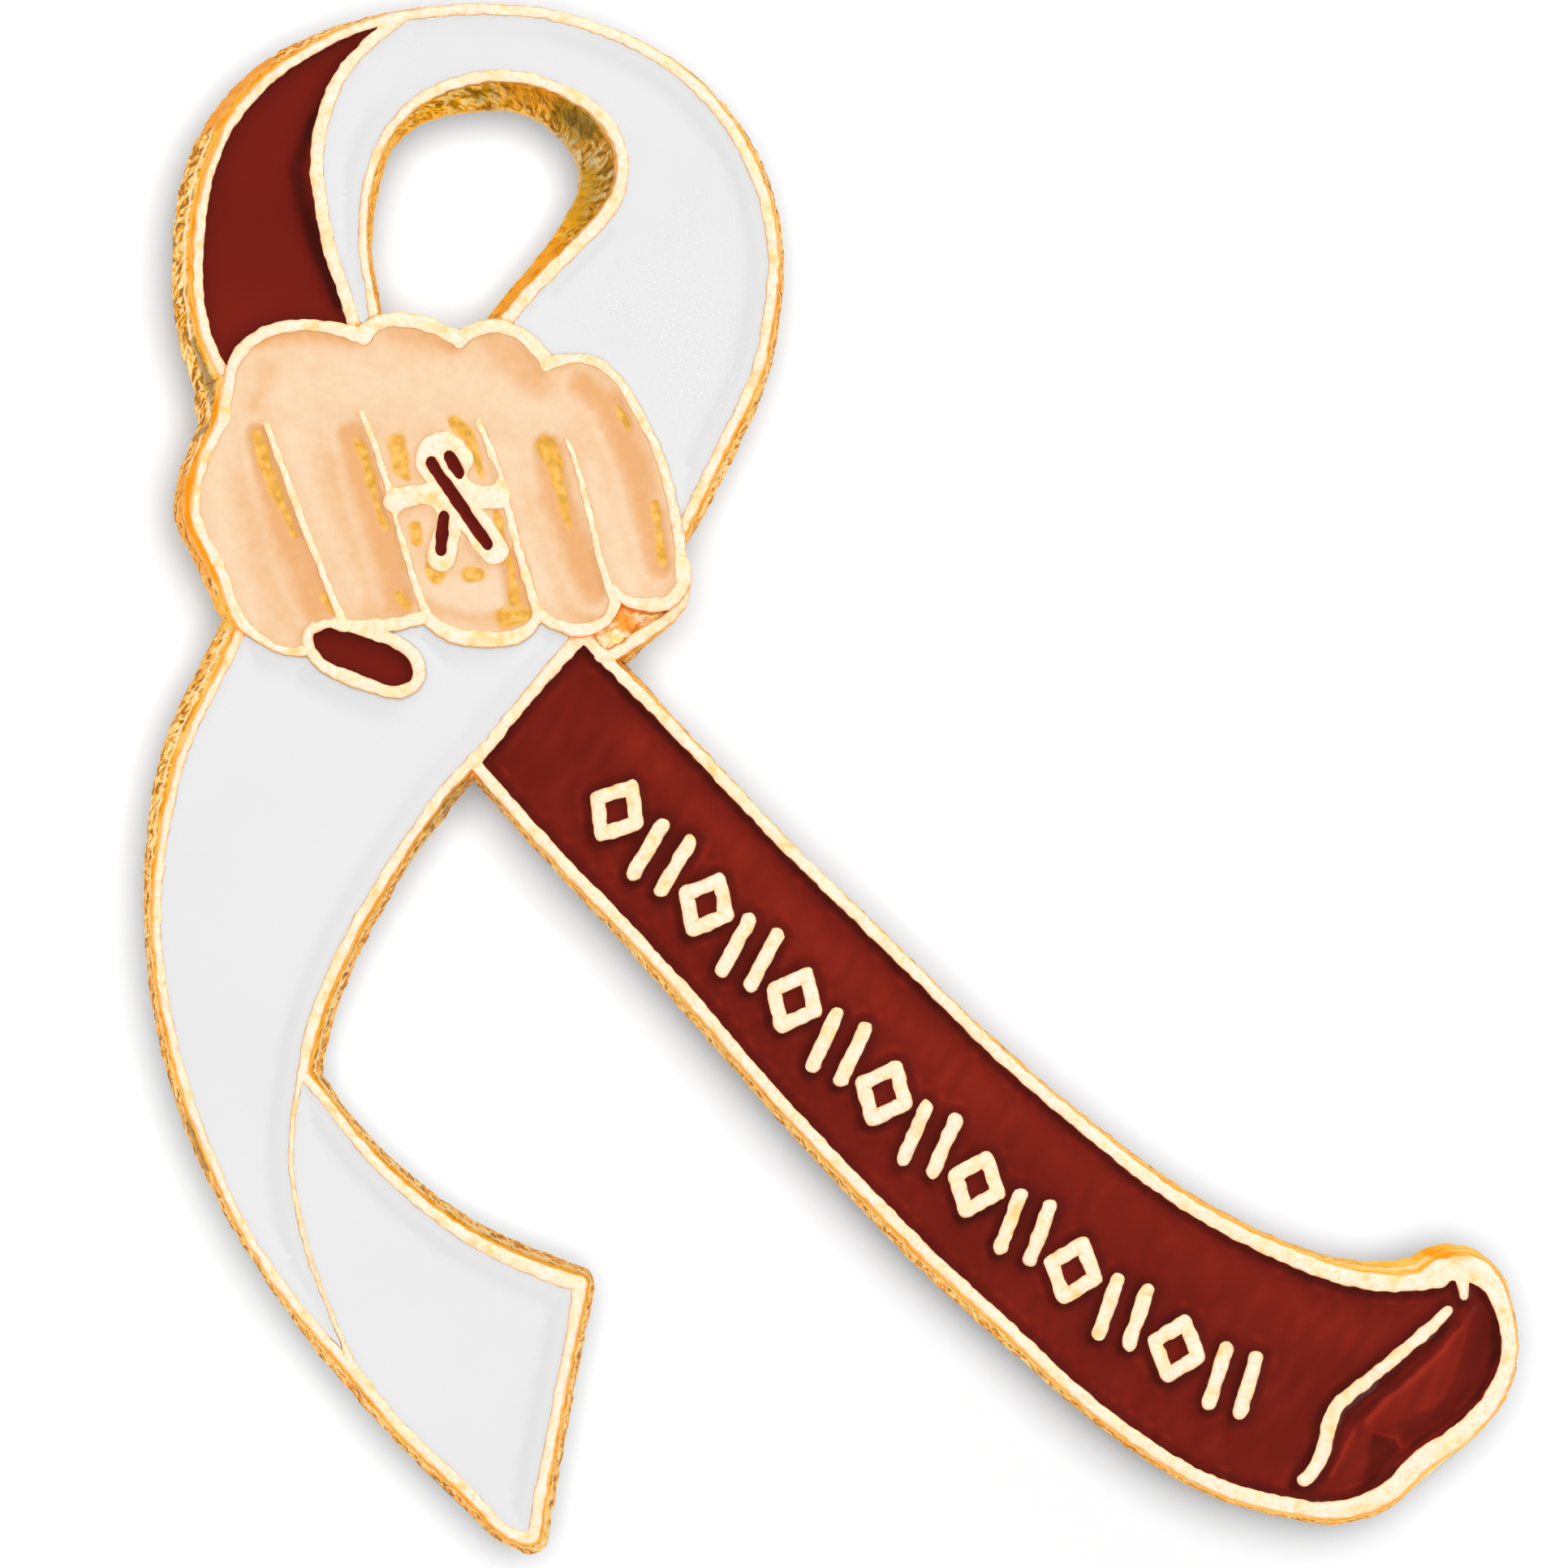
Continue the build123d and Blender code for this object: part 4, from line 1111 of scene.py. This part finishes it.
# The fitting on the back is a brooch bar of brass with a hinge, a stem and a catch. It is soldered to
# the plate, and drawing has left fine lines along it.
fitting, tree, shader = finish_named("gilt_fitting")
shader.inputs["Metallic"].default_value = 1.0
place = node_at(tree, "ShaderNodeTexCoord").outputs["Object"]
fitting_turn = math.radians(48.6)
fine_lines = {"Vector": place, "Rotation": (0, 0, fitting_turn), "Scale": (1, 14, 14)}
lines = clouds(tree, wired(tree, "ShaderNodeMapping", fine_lines).outputs["Vector"], 700, 3)
stains = clouds(tree, place, 900, 4)
bright = ramp_of(tree, lines, ((0.35, (0.94, 0.68, 0.32)), (0.65, (0.98, 0.76, 0.41))))
stain_share = mapped(tree, stains, 0.55, 0.8, 0.0, 0.35)
tree.links.new(mixed(tree, stain_share, bright, (0.7, 0.36, 0.12)), shader.inputs["Base Color"])
dull = mapped(tree, stains, 0.3, 0.7, 0.16, 0.3)
tree.links.new(dull, shader.inputs["Roughness"])
scratched = wired(tree, "ShaderNodeBump", {"Strength": 0.25, "Distance": 0.00002, "Height": lines})
tree.links.new(scratched.outputs["Normal"], shader.inputs["Normal"])
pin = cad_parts["brooch_pin"]
pin.data.materials.clear()
pin.data.materials.append(fitting)
pin.visible_diffuse = False


# The pin lies on a plain pale table in a light tent, with a broad lamp overhead and a small soft key
# lamp. It is seen from straight above but for a few degrees to the left and below.
table_mesh = bpy.data.meshes.new("table")
table_mesh.from_pydata([(-1, -1, 0), (1, -1, 0), (1, 1, 0), (-1, 1, 0)], [], [(0, 1, 2, 3)])
table = shown("table", table_mesh)
table_finish, tree, shader = finish_named("table_paper")
shader.inputs["Base Color"].default_value = (1.0, 1.0, 1.0, 1)
shader.inputs["Roughness"].default_value = 0.9
table_mesh.materials.append(table_finish)

world = bpy.data.worlds.new("studio")
world.use_nodes = True
tree = world.node_tree
tent = tree.nodes["Background"]
way = node_at(tree, "ShaderNodeTexCoord")
parts = node_at(tree, "ShaderNodeSeparateXYZ")
tree.links.new(way.outputs["Generated"], parts.inputs["Vector"])
brightness = ((0.0, 0.42), (0.86, 0.36), (0.92, 0.9), (0.975, 0.9), (0.988, 0.1), (1.0, 0.05))
glow = ramp_of(tree, parts.outputs["Z"], [(height, (value, value, value)) for height, value in brightness])
tree.links.new(glow, tent.inputs["Color"])
tent.inputs["Strength"].default_value = 2.2
world.cycles_visibility.diffuse = False
bpy.context.scene.world = world
bpy.context.scene.view_settings.view_transform = "Standard"
overhead = bpy.data.lights.new("overhead", "SUN")
overhead.angle = math.radians(24)
overhead.energy = 3.1
lamp = shown("overhead", overhead)
lamp.rotation_euler = (math.radians(-0.3), math.radians(-0.5), 0)
lamp.visible_glossy = False
soft_key = bpy.data.lights.new("soft_key", "AREA")
soft_key.size = 0.2
soft_key.energy = 0.15
key_lamp = shown("soft_key", soft_key)
key_lamp.location = (0.16, 0.2, 0.32)
key_lamp.rotation_euler = (-key_lamp.location).to_track_quat("-Z", "Y").to_euler()

middle_of_view = Vector((-1.059, -0.143, 4.9)) * MM
from_left = math.radians(3)
from_below = math.radians(1.5)
away = 0.5
frame_width = 31.97 * MM
sensor = 36
camera_data = bpy.data.cameras.new("camera")
camera_data.sensor_width = sensor
camera_data.sensor_height = sensor
camera_data.sensor_fit = "HORIZONTAL"
camera_data.lens = sensor * away / frame_width
camera_data.clip_start = 0.01
camera_data.clip_end = 10
camera = shown("camera", camera_data)
look = Vector((-math.tan(from_left), -math.tan(from_below), 1)).normalized()
camera.location = middle_of_view + look * away
camera.rotation_euler = (from_below, -from_left, 0)
bpy.context.scene.camera = camera
